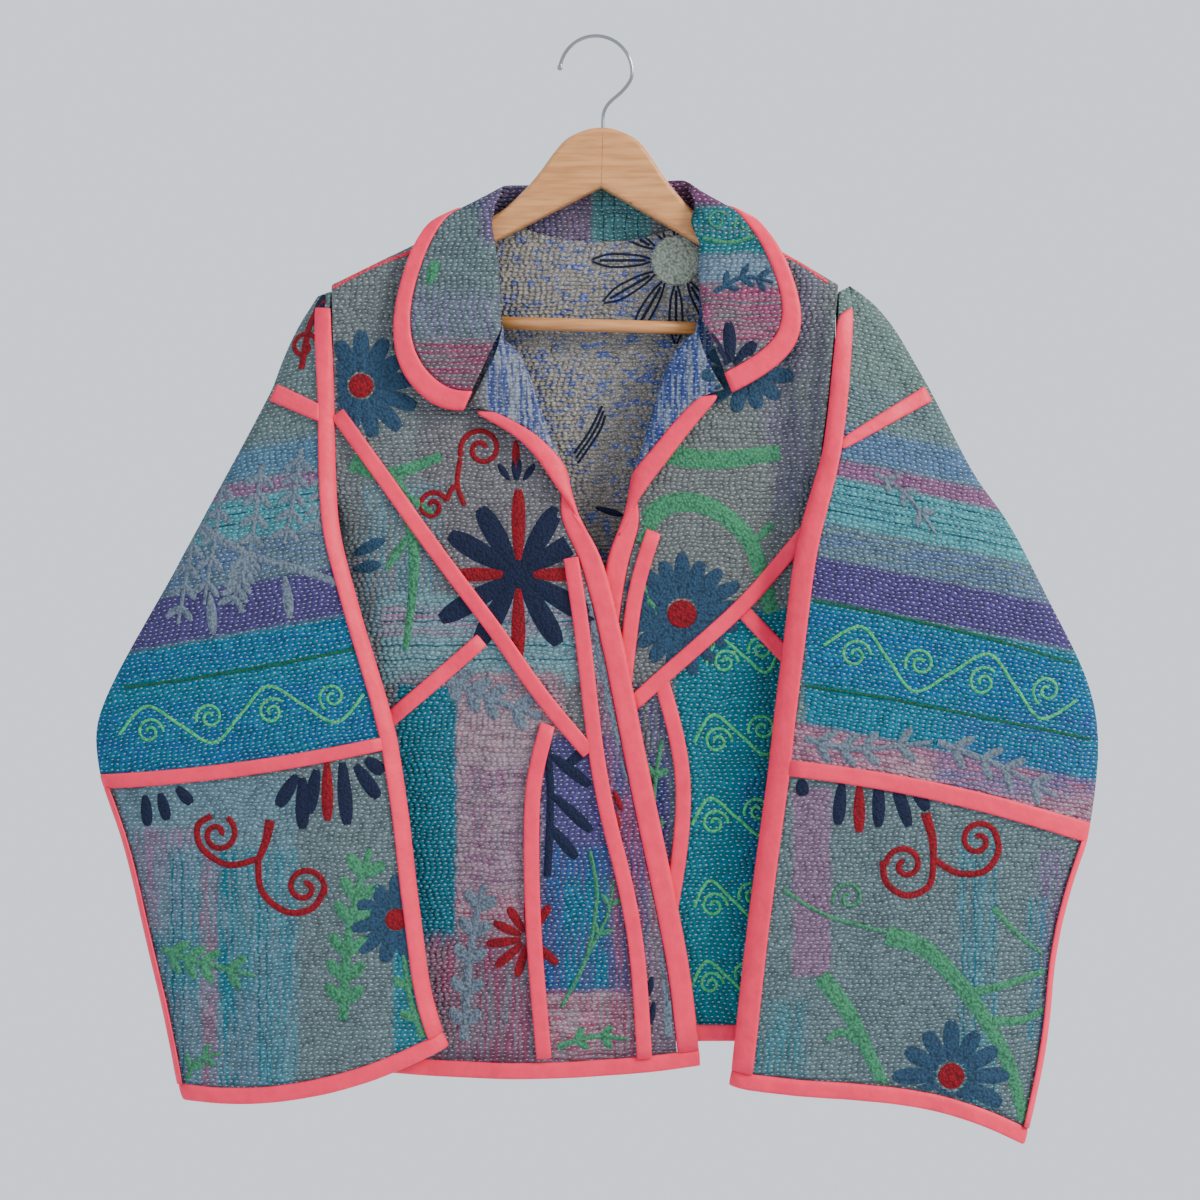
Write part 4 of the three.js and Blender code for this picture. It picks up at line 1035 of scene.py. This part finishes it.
@dataclass
class WoodenHanger:
    """The hanger: its shaped wood in two halves, its round bar and its wire hook."""

    thick: float = 14.0
    round: float = 4.0
    top: float = -74.0
    stem: float = 2.5
    tilt: float = math.radians(1.6)
    bar: float = 5.0
    bar_height: float = -229.0
    bar_half: float = 171.0
    origin: Point = (3.0, 3.2)
    crown: tuple[Point, ...] = (
        (0, -74), (12, -76), (27, -83), (37, -94), (51, -114), (66, -131), (81, -144), (109, -158.5), (140, -174),
        (168, -189), (177, -195),
    )
    under: tuple[Point, ...] = (
        (180, -203), (180, -232), (176, -239), (163, -239), (159, -232), (152, -206), (82, -166),
    )
    middle: Point = (0, -121)

    def settle(self, shape: bmesh.types.BMesh) -> None:
        """Tilts the wood about the top of its head and moves it under the hook.

        Args:
            shape: The shape that is moved.
        """
        bmesh.ops.translate(shape, verts=shape.verts, vec=(0, 0, -self.top * MM))
        for vertex in shape.verts:
            x, z = vertex.co.x, vertex.co.z
            vertex.co.x = x * math.cos(self.tilt) + z * math.sin(self.tilt)
            vertex.co.z = z * math.cos(self.tilt) - x * math.sin(self.tilt)
        place = Vector(((self.stem + self.origin[0]) * MM, 0, (self.top + self.origin[1]) * MM))
        bmesh.ops.translate(shape, verts=shape.verts, vec=place)

    def finish_piece(self, shape: bmesh.types.BMesh, name: str) -> bpy.types.Object:
        """Turns a shape into a smooth piece.

        Args:
            shape: The shape, freed here.
            name: The piece's name.

        Returns:
            The piece, linked to the scene.
        """
        mesh = bpy.data.meshes.new(name)
        shape.to_mesh(mesh)
        shape.free()
        for face in mesh.polygons:
            face.use_smooth = True
        piece = bpy.data.objects.new(name, mesh)
        bpy.context.scene.collection.objects.link(piece)
        return piece

    def wood(self, finish: bpy.types.Material) -> bpy.types.Object:
        """Makes the shaped wood, its arris rounded.

        Args:
            finish: The wood's material.

        Returns:
            The dressed wood.
        """
        half = [tuple(p) for p in smooth_path(self.crown, 4)] + list(self.under)
        ring = half + [self.middle] + [(-x, z) for x, z in reversed(half[1:])]
        shape = bmesh.new()
        corners = [shape.verts.new((x * MM, -self.thick / 2 * MM, z * MM)) for x, z in ring]
        face = shape.faces.new(corners)
        made = bmesh.ops.extrude_face_region(shape, geom=[face])
        moved = [v for v in made["geom"] if isinstance(v, bmesh.types.BMVert)]
        bmesh.ops.translate(shape, verts=moved, vec=(0, self.thick * MM, 0))
        bmesh.ops.recalc_face_normals(shape, faces=shape.faces)
        rims = [e for e in shape.edges if len(e.link_faces) == 2 and any(len(f.verts) > 4 for f in e.link_faces)]
        bmesh.ops.bevel(
            shape, geom=rims, offset=self.round * MM, affect="EDGES", segments=4, profile=0.5, material=-1,
            clamp_overlap=True,
        )
        self.settle(shape)
        piece = self.finish_piece(shape, "hanger_wood_beech")
        for face in piece.data.polygons:
            face.use_smooth = abs(face.normal.y) < 0.999
        return dress(piece, finish, "hanger_wood")

    def rod(self, finish: bpy.types.Material) -> bpy.types.Object:
        """Makes the round bar.

        Args:
            finish: The wood's material.

        Returns:
            The dressed bar.
        """
        shape = bmesh.new()
        bmesh.ops.create_cone(
            shape, cap_ends=True, segments=32, radius1=self.bar * MM, radius2=self.bar * MM,
            depth=2 * self.bar_half * MM,
        )
        bmesh.ops.rotate(shape, verts=shape.verts, matrix=Matrix.Rotation(math.pi / 2, 3, "Y"))
        bmesh.ops.translate(shape, verts=shape.verts, vec=(0, 0, self.bar_height * MM))
        self.settle(shape)
        return dress(self.finish_piece(shape, "hanger_bar_beech"), finish, "hanger_bar")

    def joint(self, finish: bpy.types.Material) -> bpy.types.Object:
        """Makes the thin glue line where the two halves of the wood meet.

        Args:
            finish: The glue's material.

        Returns:
            The dressed line.
        """
        shape = bmesh.new()
        bmesh.ops.create_grid(shape, x_segments=1, y_segments=12, size=0.5)
        for vertex in shape.verts:
            across, along = vertex.co.x, vertex.co.y + 0.5
            vertex.co = ((0.35 * across) * MM, -(self.thick / 2 + 0.06) * MM, (-78.5 - 41.0 * along) * MM)
        self.settle(shape)
        bmesh.ops.recalc_face_normals(shape, faces=shape.faces)
        piece = self.finish_piece(shape, "hanger_glue_line")
        if sum(f.normal.y for f in piece.data.polygons) > 0:
            piece.data.flip_normals()
        return dress(piece, finish, None)

    def hook(self, finish: bpy.types.Material) -> bpy.types.Object:
        """Makes the wire hook, rounder than its solid.

        Args:
            finish: The wire's material.

        Returns:
            The dressed hook.
        """
        piece = merged_copy("hanger_hook", "hanger_hook_wire")
        smoothed(piece, 2, 1.4, 1.0)
        return dress(piece, finish, "hanger_hook")

    def build(self) -> None:
        """Makes the hanger's pieces."""
        beech = HangerBeech().build()
        self.wood(beech)
        self.rod(beech)
        self.joint(ChainThread("glue line", "A87448").build())
        self.hook(HookChrome().build())


class Thread(Enum):
    """The colours of the embroidery thread."""

    NAVY = "081634"
    RED = "7E0014"
    SLATE = "203F57"
    GREEN = "397A57"
    GREY = "626F7C"
    LIME = "43A868"
    FOREST = "05503A"


@dataclass
class Jacket:
    """The jacket's panels, bindings and embroidery."""

    panels: tuple[QuiltedPiece, ...]
    trims: dict[str, tuple[str, ...]]
    run_on: float = 8.0
    made: dict[str, bpy.types.Object] = field(default_factory=dict)
    grounds: dict[str, BVHTree] = field(default_factory=dict)

    def build(self) -> None:
        """Makes the panels and bindings, then the embroidery."""
        pink = BindingTwill().build()
        for panel in self.panels:
            for node in self.trims.get(panel.node, ()):
                reach = self.run_on if "_seam_" in node and "binding" not in node else 0.0
                self.made[node] = BoundEdge(node, panel, reach).build(pink)
            piece = panel.build()
            self.made[panel.node] = piece
            graph = bpy.context.evaluated_depsgraph_get()
            bpy.context.view_layer.update()
            self.grounds[panel.node] = BVHTree.FromObject(piece, graph)
        worked = self.embroider()

    def thread(self, node: str, tint: str, colour: str, rise: float = 0.8) -> Embroidery:
        """Starts a piece of embroidery on a panel.

        Args:
            node: The panel's node.
            tint: A plain word for the colour.
            colour: The colour in hex.
            rise: How far the thread stands up, in millimetres.

        Returns:
            The embroidery, still empty.
        """
        slot = next(panel.slot for panel in self.panels if panel.node == node)
        name = f"{node}_{tint}_thread"
        return Embroidery(name, slot, ChainThread(name, colour), self.grounds[node], rise)

    def embroider(self) -> dict[str, list[bpy.types.Object]]:
        """Works the motifs on the panels.

        Returns:
            The pieces by panel.
        """
        return {
            "front_right": self.motifs_front_right(),
            "front_left": self.motifs_front_left(),
            "sleeve_upper_right": self.motifs_sleeve_upper_right(),
            "sleeve_lower_right": self.motifs_sleeve_lower_right(),
            "sleeve_upper_left": self.motifs_sleeve_upper_left(),
            "sleeve_lower_left": self.motifs_sleeve_lower_left(),
            "back_panel": self.motifs_back_panel(),
            "collar": self.motifs_collar(),
        }

    def motifs_front_right(self) -> list[bpy.types.Object]:
        """Works the motifs of the right front.

        Returns:
            Its pieces of embroidery.
        """
        one = self.thread("front_right", "navy", Thread.NAVY.value)
        one.flower((-60.2, -421.1), 69, 12, 9, 18, (0, 3, 6, 9))
        one.disc((-60.2, -421.1), 12)
        one.petal((-61.7, -347.8), (-61.7, -329.1), 9)
        one.petal((-67.2, -347.8), (-75.8, -335.3), 6)
        one.petal((-56.3, -347.8), (-47.7, -335.3), 6)
        for x0, y0, x1, y1 in ((550, 760, 588, 790), (552, 800, 590, 835), (560, 775, 600, 740), (548, 830, 575, 862)):
            one.petal(laid(x0, y0), laid(x1, y1), 10, 1.0)
        one.stem([(-38.3, -549.8), (-35.2, -592.7), (-37.6, -655.1)], 6)
        one.petal((43.6, -733.1), (40.4, -748.7), 6)
        one.petal((45.1, -752.6), (42, -770.6), 6)
        two = self.thread("front_right", "red", Thread.RED.value)
        for angle in range(4):
            ray = Vector((math.cos(angle * math.pi / 2), math.sin(angle * math.pi / 2)))
            middle = Vector((-60.2, -421.1))
            two.petal(tuple(middle + ray * 11), tuple(middle + ray * (66 if angle % 2 else 48)), 12, 1.0)
        two.petal((-61.7, -344.7), (-62.5, -316.6), 7)
        two.stem([(-102.3, -367.3), (-107.8, -350.9), (-105.4, -330.6)], 4)
        two.spiral((-89, -323.6), 17, 200, -1.5, 4)
        two.stem([(-107, -351.7), (-112.4, -354.8), (-115.6, -363.4)], 4)
        two.spiral((-127.3, -368.1), 12, 20, 1.4, 4)
        two.disc((-182.6, -274.5), 9.5)
        two.flower((-52.4, -703.5), 33, 11, 6, 8, (8, 9))
        two.petal((13.9, -588.8), (20.2, -604.4), 6)
        two.petal((12.4, -602.1), (18.6, -617.7), 6)
        three = self.thread("front_right", "slate", Thread.SLATE.value)
        three.flower((-182.6, -274.5), 45, 13, 11, 14)
        three.petal((-188.9, -405.5), (-163.9, -393.8), 10)
        three.petal((-188.9, -417.2), (-167, -413.3), 10)
        four = self.thread("front_right", "green", Thread.GREEN.value)
        four.stem([(-190.4, -333.8), (-160.8, -343.1), (-120.2, -329.1)], 14, 0.5)
        four.stem([(-160.8, -340), (-143.6, -382.1), (-142.1, -428.9), (-148.3, -479.6)], 13, 0.35)
        four.petal((-147.5, -358.7), (-126.5, -374.3), 7)
        four.petal((-145.2, -389.9), (-163.1, -417.2), 7)
        four.petal((-131.9, -202.7), (-121.8, -183.2), 12)
        four.stem([(-26.6, -756.5), (-7.1, -717.5), (0.7, -670.7), (-4.8, -635.6)], 3.2)
        four.branch([(-29.8, -787.7), (-3.2, -779.9), (24.1, -781.5)], 5, 12, 2)
        four.branch([(-7.1, -717.5), (8.5, -686.3), (13.9, -659)], 3.2, 12, 2)
        five = self.thread("front_right", "grey", Thread.GREY.value)
        five.branch([(-120.2, -499.1), (-89, -514.7), (-42.2, -531.9)], 8, 19, 4)
        five.branch([(-103.1, -783.8), (-98.4, -717.5), (-87.5, -662.9)], 8, 17, 5)
        five.stem([(-3.2, -444.5), (7.7, -499.1), (21.7, -561.5), (42, -631.7), (52.9, -701.9), (57.6, -779.9)], 8)
        six = self.thread("front_right", "pink", "E02848", 0.9)
        six.stem([(-205.3, -197.3), (-176.4, -181.7), (-143.6, -169.2)], 3)
        return [w.build() for w in (one, two, three, four, five, six)]

    def motifs_front_left(self) -> list[bpy.types.Object]:
        """Works the motifs of the left front.

        Returns:
            Its pieces of embroidery.
        """
        one = self.thread("front_left", "slate", Thread.SLATE.value)
        one.flower((67, -450.8), 49, 17, 12, 13)
        one.flower((117.7, -262), 36, 11, 9, 13, (0, 1, 10))
        two = self.thread("front_left", "red", Thread.RED.value)
        two.disc((67, -452.3), 11.5)
        three = self.thread("front_left", "green", Thread.GREEN.value)
        three.stem([(31.1, -393.8), (52.9, -368.1), (87.2, -368.1), (120, -396.2), (137.2, -450.8)], 17, 0.7)
        three.stem([(51.4, -326), (90.4, -332.2), (143.4, -326)], 17, 0.7)
        three.petal((123.1, -396.2), (138.7, -380.6), 7)
        three.petal((47.5, -452.3), (35.8, -428.9), 8)
        three.branch([(43.6, -655.1), (45.1, -592.7), (51.4, -549.8)], 5, 12, 2)
        four = self.thread("front_left", "lime", Thread.LIME.value, 0.5)
        four.scroll((85.7, -491.3), (143.4, -477.3), 2, 17)
        four.scroll((76.3, -552.2), (148.1, -539.7), 2, 19)
        four.scroll((74.8, -616.1), (143.4, -603.6), 2, 18)
        four.scroll((76.3, -680.1), (137.2, -669.2), 2, 18)
        four.scroll((74.8, -740.9), (132.5, -730), 2, 16)
        five = self.thread("front_left", "pink", "E02848", 0.9)
        five.stem([(141.1, -168.4), (162.9, -180.1), (180.8, -193.4)], 3)
        return [w.build() for w in (one, two, three, four, five)]

    def motifs_sleeve_upper_right(self) -> list[bpy.types.Object]:
        """Works the motifs of the right upper sleeve.

        Returns:
            Its pieces of embroidery.
        """
        one = self.thread("sleeve_upper_right", "grey", Thread.GREY.value)
        for x, y, drop in (
            (196, 520, 110), (222, 480, 130), (262, 470, 110), (300, 455, 95),
            (330, 460, 80), (250, 560, 50),
        ):
            one.branch([laid(x, y), laid(x - 6, y + drop * 0.5), laid(x - 14, y + drop)], 4.5, 15, 5)
        one.stem([(-307.4, -382.1), (-268.4, -405.5), (-229.4, -417.2), (-194.3, -428.9)], 6)
        one.petal((-296.5, -436.7), (-293.4, -467.9), 9)
        one.petal((-238.8, -422.7), (-234.1, -455.4), 9)
        two = self.thread("sleeve_upper_right", "lime", Thread.LIME.value, 0.5)
        two.scroll((-366.7, -544.4), (-178, -513.2), 4, 18)
        three = self.thread("sleeve_upper_right", "forest", Thread.FOREST.value, 0.5)
        three.stem([(-363.6, -508.5), (-307.4, -500.7), (-237.2, -489), (-181.1, -477.3)], 2.6)
        four = self.thread("sleeve_upper_right", "red", Thread.RED.value)
        four.spiral((-227.9, -243.3), 12, 0, 1.2, 4)
        four.stem([(-229.4, -261.2), (-223.2, -226.1), (-212.3, -206.6)], 5)
        five = self.thread("sleeve_upper_right", "navy", Thread.NAVY.value)
        five.petal((-220.1, -226.1), (-212.3, -202.7), 9)
        return [w.build() for w in (one, two, three, four, five)]

    def motifs_sleeve_lower_right(self) -> list[bpy.types.Object]:
        """Works the motifs of the right lower sleeve.

        Returns:
            Its pieces of embroidery.
        """
        one = self.thread("sleeve_lower_right", "navy", Thread.NAVY.value)
        for x, y, a, b in (
            (300, 778, 282, 808), (306, 780, 306, 830), (345, 765, 350, 826), (358, 768, 380, 800),
            (320, 772, 312, 815), (368, 762, 385, 775),
        ):
            one.petal(laid(x, y), laid(a, b), 12, 1.0)
        for x, y, a, b in ((150, 798, 152, 828), (165, 796, 172, 822), (182, 790, 196, 806)):
            one.petal(laid(x, y), laid(a, b), 10, 1.0)
        two = self.thread("sleeve_lower_right", "red", Thread.RED.value)
        two.petal((-206, -565.4), (-205.3, -609.9), 10, 1.0)
        two.stem([(-249.7, -609.9), (-252.8, -625.5), (-259.1, -641.1)], 8, 0.6)
        two.stem([(-259.1, -639.5), (-282.5, -644.2), (-302.8, -631.7), (-305.9, -614.6), (-295, -606.8)], 5)
        two.spiral((-290.3, -620.8), 15, 60, -1.2, 4.5)
        two.stem([(-259.1, -639.5), (-256, -664.5), (-237.2, -680.1), (-217, -677), (-207.6, -661.4)], 5)
        two.spiral((-223.2, -661.4), 16, -20, 1.3, 4.5)
        two.disc((-153, -686.3), 8.5)
        three = self.thread("sleeve_lower_right", "green", Thread.GREEN.value)
        three.branch([(-193.6, -762.8), (-188.9, -694.1), (-173.3, -631.7)], 8, 20, 6)
        three.branch([(-334.7, -709.7), (-307.4, -719.1), (-262.2, -729.2)], 6, 18, 4)
        three.branch([(-131.9, -779.9), (-142.1, -748.7), (-147.5, -713.6)], 6, 14, 2)
        three.branch([(-315.2, -811.1), (-307.4, -795.5), (-287.9, -789.3)], 4, 12, 2)
        four = self.thread("sleeve_lower_right", "slate", Thread.SLATE.value)
        four.flower((-153, -686.3), 36, 11, 9, 13)
        return [w.build() for w in (one, two, three, four)]

    def motifs_sleeve_upper_left(self) -> list[bpy.types.Object]:
        """Works the motifs of the left upper sleeve.

        Returns:
            Its pieces of embroidery.
        """
        one = self.thread("sleeve_upper_left", "grey", Thread.GREY.value)
        one.branch([(160.6, -547.5), (199.6, -555.3), (258.1, -549.8)], 5.5, 18, 4)
        one.branch([(262, -549.8), (308.8, -567.8), (355.6, -592.7)], 5.5, 18, 4)
        one.branch([(215.2, -343.1), (238.6, -358.7), (262, -389.9)], 4, 12, 3)
        two = self.thread("sleeve_upper_left", "lime", Thread.LIME.value, 0.5)
        two.scroll((174.6, -475.7), (371.2, -517.8), 4, 20)
        three = self.thread("sleeve_upper_left", "forest", Thread.FOREST.value, 0.5)
        three.stem([(166.8, -441.4), (223, -452.3), (301, -470.3), (381.3, -493.7)], 2.6)
        three.stem([(160.6, -506.9), (223, -516.3), (301, -531.9), (389.9, -549.8)], 2.6)
        return [w.build() for w in (one, two, three)]

    def motifs_sleeve_lower_left(self) -> list[bpy.types.Object]:
        """Works the motifs of the left lower sleeve.

        Returns:
            Its pieces of embroidery.
        """
        one = self.thread("sleeve_lower_left", "navy", Thread.NAVY.value)
        for x, y, a, b in (
            (796, 782, 798, 798), (836, 785, 832, 826), (872, 780, 872, 828), (886, 778, 902, 828),
            (905, 785, 920, 812),
        ):
            one.petal(laid(x, y), laid(a, b), 11, 1.0)
        two = self.thread("sleeve_lower_left", "red", Thread.RED.value)
        two.petal((201.9, -583.4), (201.9, -619.2), 10, 1.0)
        two.stem([(252.6, -604.4), (258.1, -623.9), (258.8, -641.1)], 8, 0.6)
        two.stem([(258.8, -639.5), (255.7, -659.8), (238.6, -667.6), (223, -658.2), (219.8, -641.1)], 5)
        two.spiral((237, -644.2), 15, 180, -1.2, 4.5)
        two.stem([(258.8, -639.5), (277.6, -650.4), (297.8, -648.9), (308.8, -633.3), (305.6, -617.7)], 5)
        two.spiral((293.2, -625.5), 15, 10, 1.3, 4.5)
        two.disc((272.9, -806.4), 10)
        three = self.thread("sleeve_lower_left", "green", Thread.GREEN.value)
        three.stem([(143.4, -662.9), (176.2, -682.4), (230.8, -698)], 3)
        three.stem([(223, -698), (254.2, -709.7), (289.3, -748.7), (316.6, -795.5), (330.6, -842.3)], 15, 0.6)
        three.stem([(285.4, -742.5), (312.7, -737), (346.2, -726.9)], 8, 0.5)
        three.stem([(304.9, -764.3), (328.3, -764.3), (349.3, -755)], 8, 0.5)
        three.stem([(304.9, -677), (324.4, -698), (343.9, -713.6)], 5, 0.5)
        three.stem([(172.3, -729.2), (193.3, -756.5), (208.9, -787.7), (221.4, -815)], 14, 0.6)
        three.stem([(201.1, -779.9), (187.9, -772.1), (177.7, -778.4)], 7, 0.6)
        three.spiral((194.1, -669.2), 13, 200, -1.3, 2.6)
        four = self.thread("sleeve_lower_left", "slate", Thread.SLATE.value)
        four.flower((272.9, -806.4), 45, 12, 12, 14)
        return [w.build() for w in (one, two, three, four)]

    def motifs_back_panel(self) -> list[bpy.types.Object]:
        """Works the motifs of the inside of the back.

        Returns:
            Its pieces of embroidery.
        """
        one = self.thread("back_panel", "navy", Thread.NAVY.value)
        for k in range(12):
            angle = math.tau * k / 12
            ray = Vector((math.cos(angle), math.sin(angle)))
            side = Vector((-ray.y, ray.x))
            middle = Vector((63.1, -173.1))
            for sign in (1, -1):
                rim = [tuple(middle + ray * r + side * sign * w) for r, w in ((20, 1.2), (32, 4.2), (52, 5), (66, 0.8))]
                one.stem(rim, 1.8)
            one.stem([tuple(middle + ray * 24), tuple(middle + ray * 60)], 2.2)
        for shift in (-5, 0, 5):
            low, top = laid(574 + shift * 0.4, 462 + shift), laid(602 + shift * 0.3, 414 + shift)
            one.stem([low, laid(592 + shift, 436), top], 2)
        one.petal((-0.1, -368.1), (21.7, -374.3), 6)
        two = self.thread("back_panel", "grey", "9AA394")
        two.disc((63.1, -173.1), 19)
        return [w.build() for w in (one, two)]

    def motifs_collar(self) -> list[bpy.types.Object]:
        """Works the motifs of the collar.

        Returns:
            Its pieces of embroidery.
        """
        one = self.thread("collar", "navy", Thread.NAVY.value)
        for x, y, a, b in ((724, 372, 700, 335), (728, 370, 726, 330), (732, 372, 752, 350), (736, 374, 762, 366)):
            one.petal(laid(x, y), laid(a, b), 11, 1.0)
        two = self.thread("collar", "green", Thread.GREEN.value)
        two.petal((-129.6, -196.5), (-123.4, -177.8), 10)
        two.stem([(82.6, -160.6), (106, -163.7), (127.8, -155.9)], 3)
        two.spiral((94.3, -146.6), 9, 20, 1.2, 1.8)
        two.spiral((115.3, -149.7), 8, 200, -1.2, 1.8)
        three = self.thread("collar", "slate", Thread.SLATE.value)
        three.branch([(91.9, -202.7), (113.8, -191), (137.2, -194.9)], 4, 12, 3)
        return [w.build() for w in (one, two, three)]


@dataclass(frozen=True)
class SoftLight:
    """A square studio light."""

    name: str
    place: tuple[float, float, float]
    size: float
    power: float
    colour: str = "FFFFFF"

    def build(self, aim: Vector) -> None:
        """Sets the light up, turned to a point.

        Args:
            aim: The point.
        """
        lamp = bpy.data.lights.new(self.name, "AREA")
        lamp.shape = "SQUARE"
        lamp.size = self.size
        lamp.energy = self.power
        lamp.color = linear(self.colour)[:3]
        light = bpy.data.objects.new(self.name, lamp)
        light.location = self.place
        light.rotation_euler = (aim - Vector(self.place)).to_track_quat("-Z", "Y").to_euler()
        bpy.context.scene.collection.objects.link(light)


@dataclass(frozen=True)
class Studio:
    """The pale floor, the soft lights and the camera."""

    aim: tuple[float, float, float] = (0.0032, -0.03, -0.441)
    distance: float = 1.80
    lens: float = 70.0
    floor: float = -1.35
    tone: str = "E4EBF5"

    def camera(self) -> None:
        """Places the camera straight before the jacket."""
        view = bpy.data.cameras.new("camera")
        view.lens = self.lens
        view.sensor_width = 36.0
        camera = bpy.data.objects.new("camera", view)
        x, y, z = self.aim
        camera.location = (x, y - self.distance, z)
        camera.rotation_euler = (math.pi / 2, 0.0, 0.0)
        bpy.context.scene.collection.objects.link(camera)
        bpy.context.scene.camera = camera

    def ground(self) -> None:
        """Lays the pale floor and sets the even sky."""
        shape = bmesh.new()
        bmesh.ops.create_grid(shape, x_segments=1, y_segments=1, size=1.5)
        bmesh.ops.translate(shape, verts=shape.verts, vec=(0.0, 0.0, self.floor))
        mesh = bpy.data.meshes.new("floor")
        shape.to_mesh(mesh)
        shape.free()
        floor = bpy.data.objects.new("floor", mesh)
        material, _, shader = new_material("studio floor, matt paint")
        shader.inputs["Base Color"].default_value = linear(self.tone)
        shader.inputs["Roughness"].default_value = 0.9
        mesh.materials.append(material)
        bpy.context.scene.collection.objects.link(floor)
        world = bpy.data.worlds.new("studio")
        world.use_nodes = True
        sky = world.node_tree.nodes["Background"]
        sky.inputs[0].default_value = linear(self.tone)
        sky.inputs[1].default_value = 1.35
        bpy.context.scene.world = world

    def build(self) -> None:
        """Sets up the studio."""
        self.camera()
        self.ground()
        aim = Vector(self.aim)
        SoftLight("key", (2.1, -1.2, 1.0), 0.9, 110.0, "FFF8F0").build(aim)
        SoftLight("fill", (-1.8, -1.8, 0.0), 1.6, 9.0, "EFF4FF").build(aim)
        SoftLight("back", (0.6, 2.0, 0.8), 1.4, 16.0).build(aim)


FRONT_FOLDS_RIGHT = (
    Crease((-151.4, -163.7), (-128, -405.5), 9, -1.8),
    Crease((-190.4, -226.1), (-167, -467.9), 10, 1.6),
    Crease((-112.4, -467.9), (-96.8, -795.5), 12, -1.8),
    Crease((-73.4, -561.5), (-69.5, -803.3), 9, 1.6),
    Crease((-7.1, -639.5), (4.6, -795.5), 10, -1.4),
)
FRONT_FOLDS_LEFT = (
    Crease((145, -179.3), (137.2, -514.7), 9, -2.0),
    Crease((160.6, -171.5), (156.7, -467.9), 7, 1.8),
    Crease((98.2, -514.7), (86.5, -779.9), 12, -1.8),
    Crease((121.6, -467.9), (115.3, -779.9), 9, 1.4),
)
SLEEVE_FOLDS_RIGHT = (
    Crease((-229.4, -296.3), (-276.2, -436.7), 12, -1.6),
    Crease((-323, -405.5), (-229.4, -467.9), 12, 1.4),
    Crease((-369.8, -530.3), (-206, -514.7), 10, -1.3),
    Crease((-307.4, -592.7), (-276.2, -811.1), 14, -1.8),
    Crease((-206, -577.1), (-174.8, -795.5), 12, 1.6),
)
SLEEVE_FOLDS_LEFT = (
    Crease((207.4, -202.7), (277.6, -374.3), 12, -1.6),
    Crease((238.6, -343.1), (363.4, -467.9), 12, 1.6),
    Crease((176.2, -514.7), (363.4, -530.3), 10, -1.3),
    Crease((207.4, -608.3), (191.8, -811.1), 13, -1.6),
    Crease((308.8, -623.9), (285.4, -842.3), 13, 1.8),
)
BACK_FOLDS = (
    Crease((-151.4, -218.3), (-135.8, -772.1), 14, -1.8),
    Crease((-42.2, -296.3), (-50, -772.1), 12, 1.8),
    Crease((82.6, -280.7), (90.4, -772.1), 14, -1.8),
)


def make_jacket() -> Jacket:
    """The jacket with its cloths and cut sizes.

    Returns:
        The jacket, ready to build.
    """
    sleeve, front = "patch_cloth_sleeve", "patch_cloth_front"
    up_right = KanthaCloth("sleeve patchwork, right upper", "54686E", SLEEVE_RIGHT, 0.17, -268.0)
    low_right = KanthaCloth("sleeve patchwork, right lower", "56676A", SLEEVE_RIGHT_LOW)
    up_left = KanthaCloth("sleeve patchwork, left upper", "52696C", SLEEVE_LEFT, -0.2, 239.0)
    low_left = KanthaCloth("sleeve patchwork, left lower", "53666A", SLEEVE_LEFT_LOW)
    panels = (
        QuiltedPiece(
            "back_panel",
            "patch_cloth_back",
            KanthaCloth("back cloth", "5F6765", BACK, flecks="3A56A0"),
            (0.43, 0.64),
            0.246,
            3,
            BACK_FOLDS,
        ),
        QuiltedPiece(
            "front_right",
            front,
            KanthaCloth("right front patchwork", "5F6064", FRONT_RIGHT + LAPEL_RIGHT),
            (0.33, 0.67),
            0.135,
            2,
            FRONT_FOLDS_RIGHT,
        ),
        QuiltedPiece(
            "front_left",
            front,
            KanthaCloth("left front patchwork", "5B6264", FRONT_LEFT + LAPEL_LEFT),
            (0.27, 0.64),
            0.105,
            2,
            FRONT_FOLDS_LEFT,
        ),
        QuiltedPiece("sleeve_upper_right", sleeve, up_right, (0.46, 0.38), 0.0856, 2, SLEEVE_FOLDS_RIGHT, -14.0),
        QuiltedPiece("sleeve_lower_right", sleeve, low_right, (0.46, 0.27), 0.0983, 3, SLEEVE_FOLDS_RIGHT, -30.0),
        QuiltedPiece("sleeve_upper_left", sleeve, up_left, (0.5, 0.42), 0.1174, 2, SLEEVE_FOLDS_LEFT, -14.0),
        QuiltedPiece("sleeve_lower_left", sleeve, low_left, (0.5, 0.28), 0.1058, 3, SLEEVE_FOLDS_LEFT, -30.0),
        QuiltedPiece(
            "collar",
            "patch_cloth_collar",
            KanthaCloth("collar patchwork", "616165", COLLAR),
            (0.62, 0.09),
            0.0359,
            2,
        ),
    )
    trims: dict[str, tuple[str, ...]] = {
        "back_panel": ("hem_binding_back",),
        "collar": ("collar_binding",),
    }
    for side in ("right", "left"):
        seams = ("front_edge_binding", "hem_binding", "facing_seam", "yoke_seam", "cross_seam", "dart_seam")
        trims[f"front_{side}"] = tuple(f"{name}_{side}" for name in seams)
        upper = ("sleeve_seam_binding", "sleeve_head_binding", "elbow_binding")
        trims[f"sleeve_upper_{side}"] = tuple(f"{name}_{side}" for name in upper)
        trims[f"sleeve_lower_{side}"] = tuple(f"{name}_{side}" for name in ("cuff_binding", "sleeve_outer_binding"))
    return Jacket(panels, trims)


def main() -> None:
    """Builds the studio, the hanger and the jacket."""
    logging.basicConfig(level=logging.INFO, format="%(name)s: %(message)s")
    noise.seed_set(SEED)
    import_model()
    Studio().build()
    WoodenHanger().build()
    make_jacket().build()


if __name__ == "__main__":
    main()
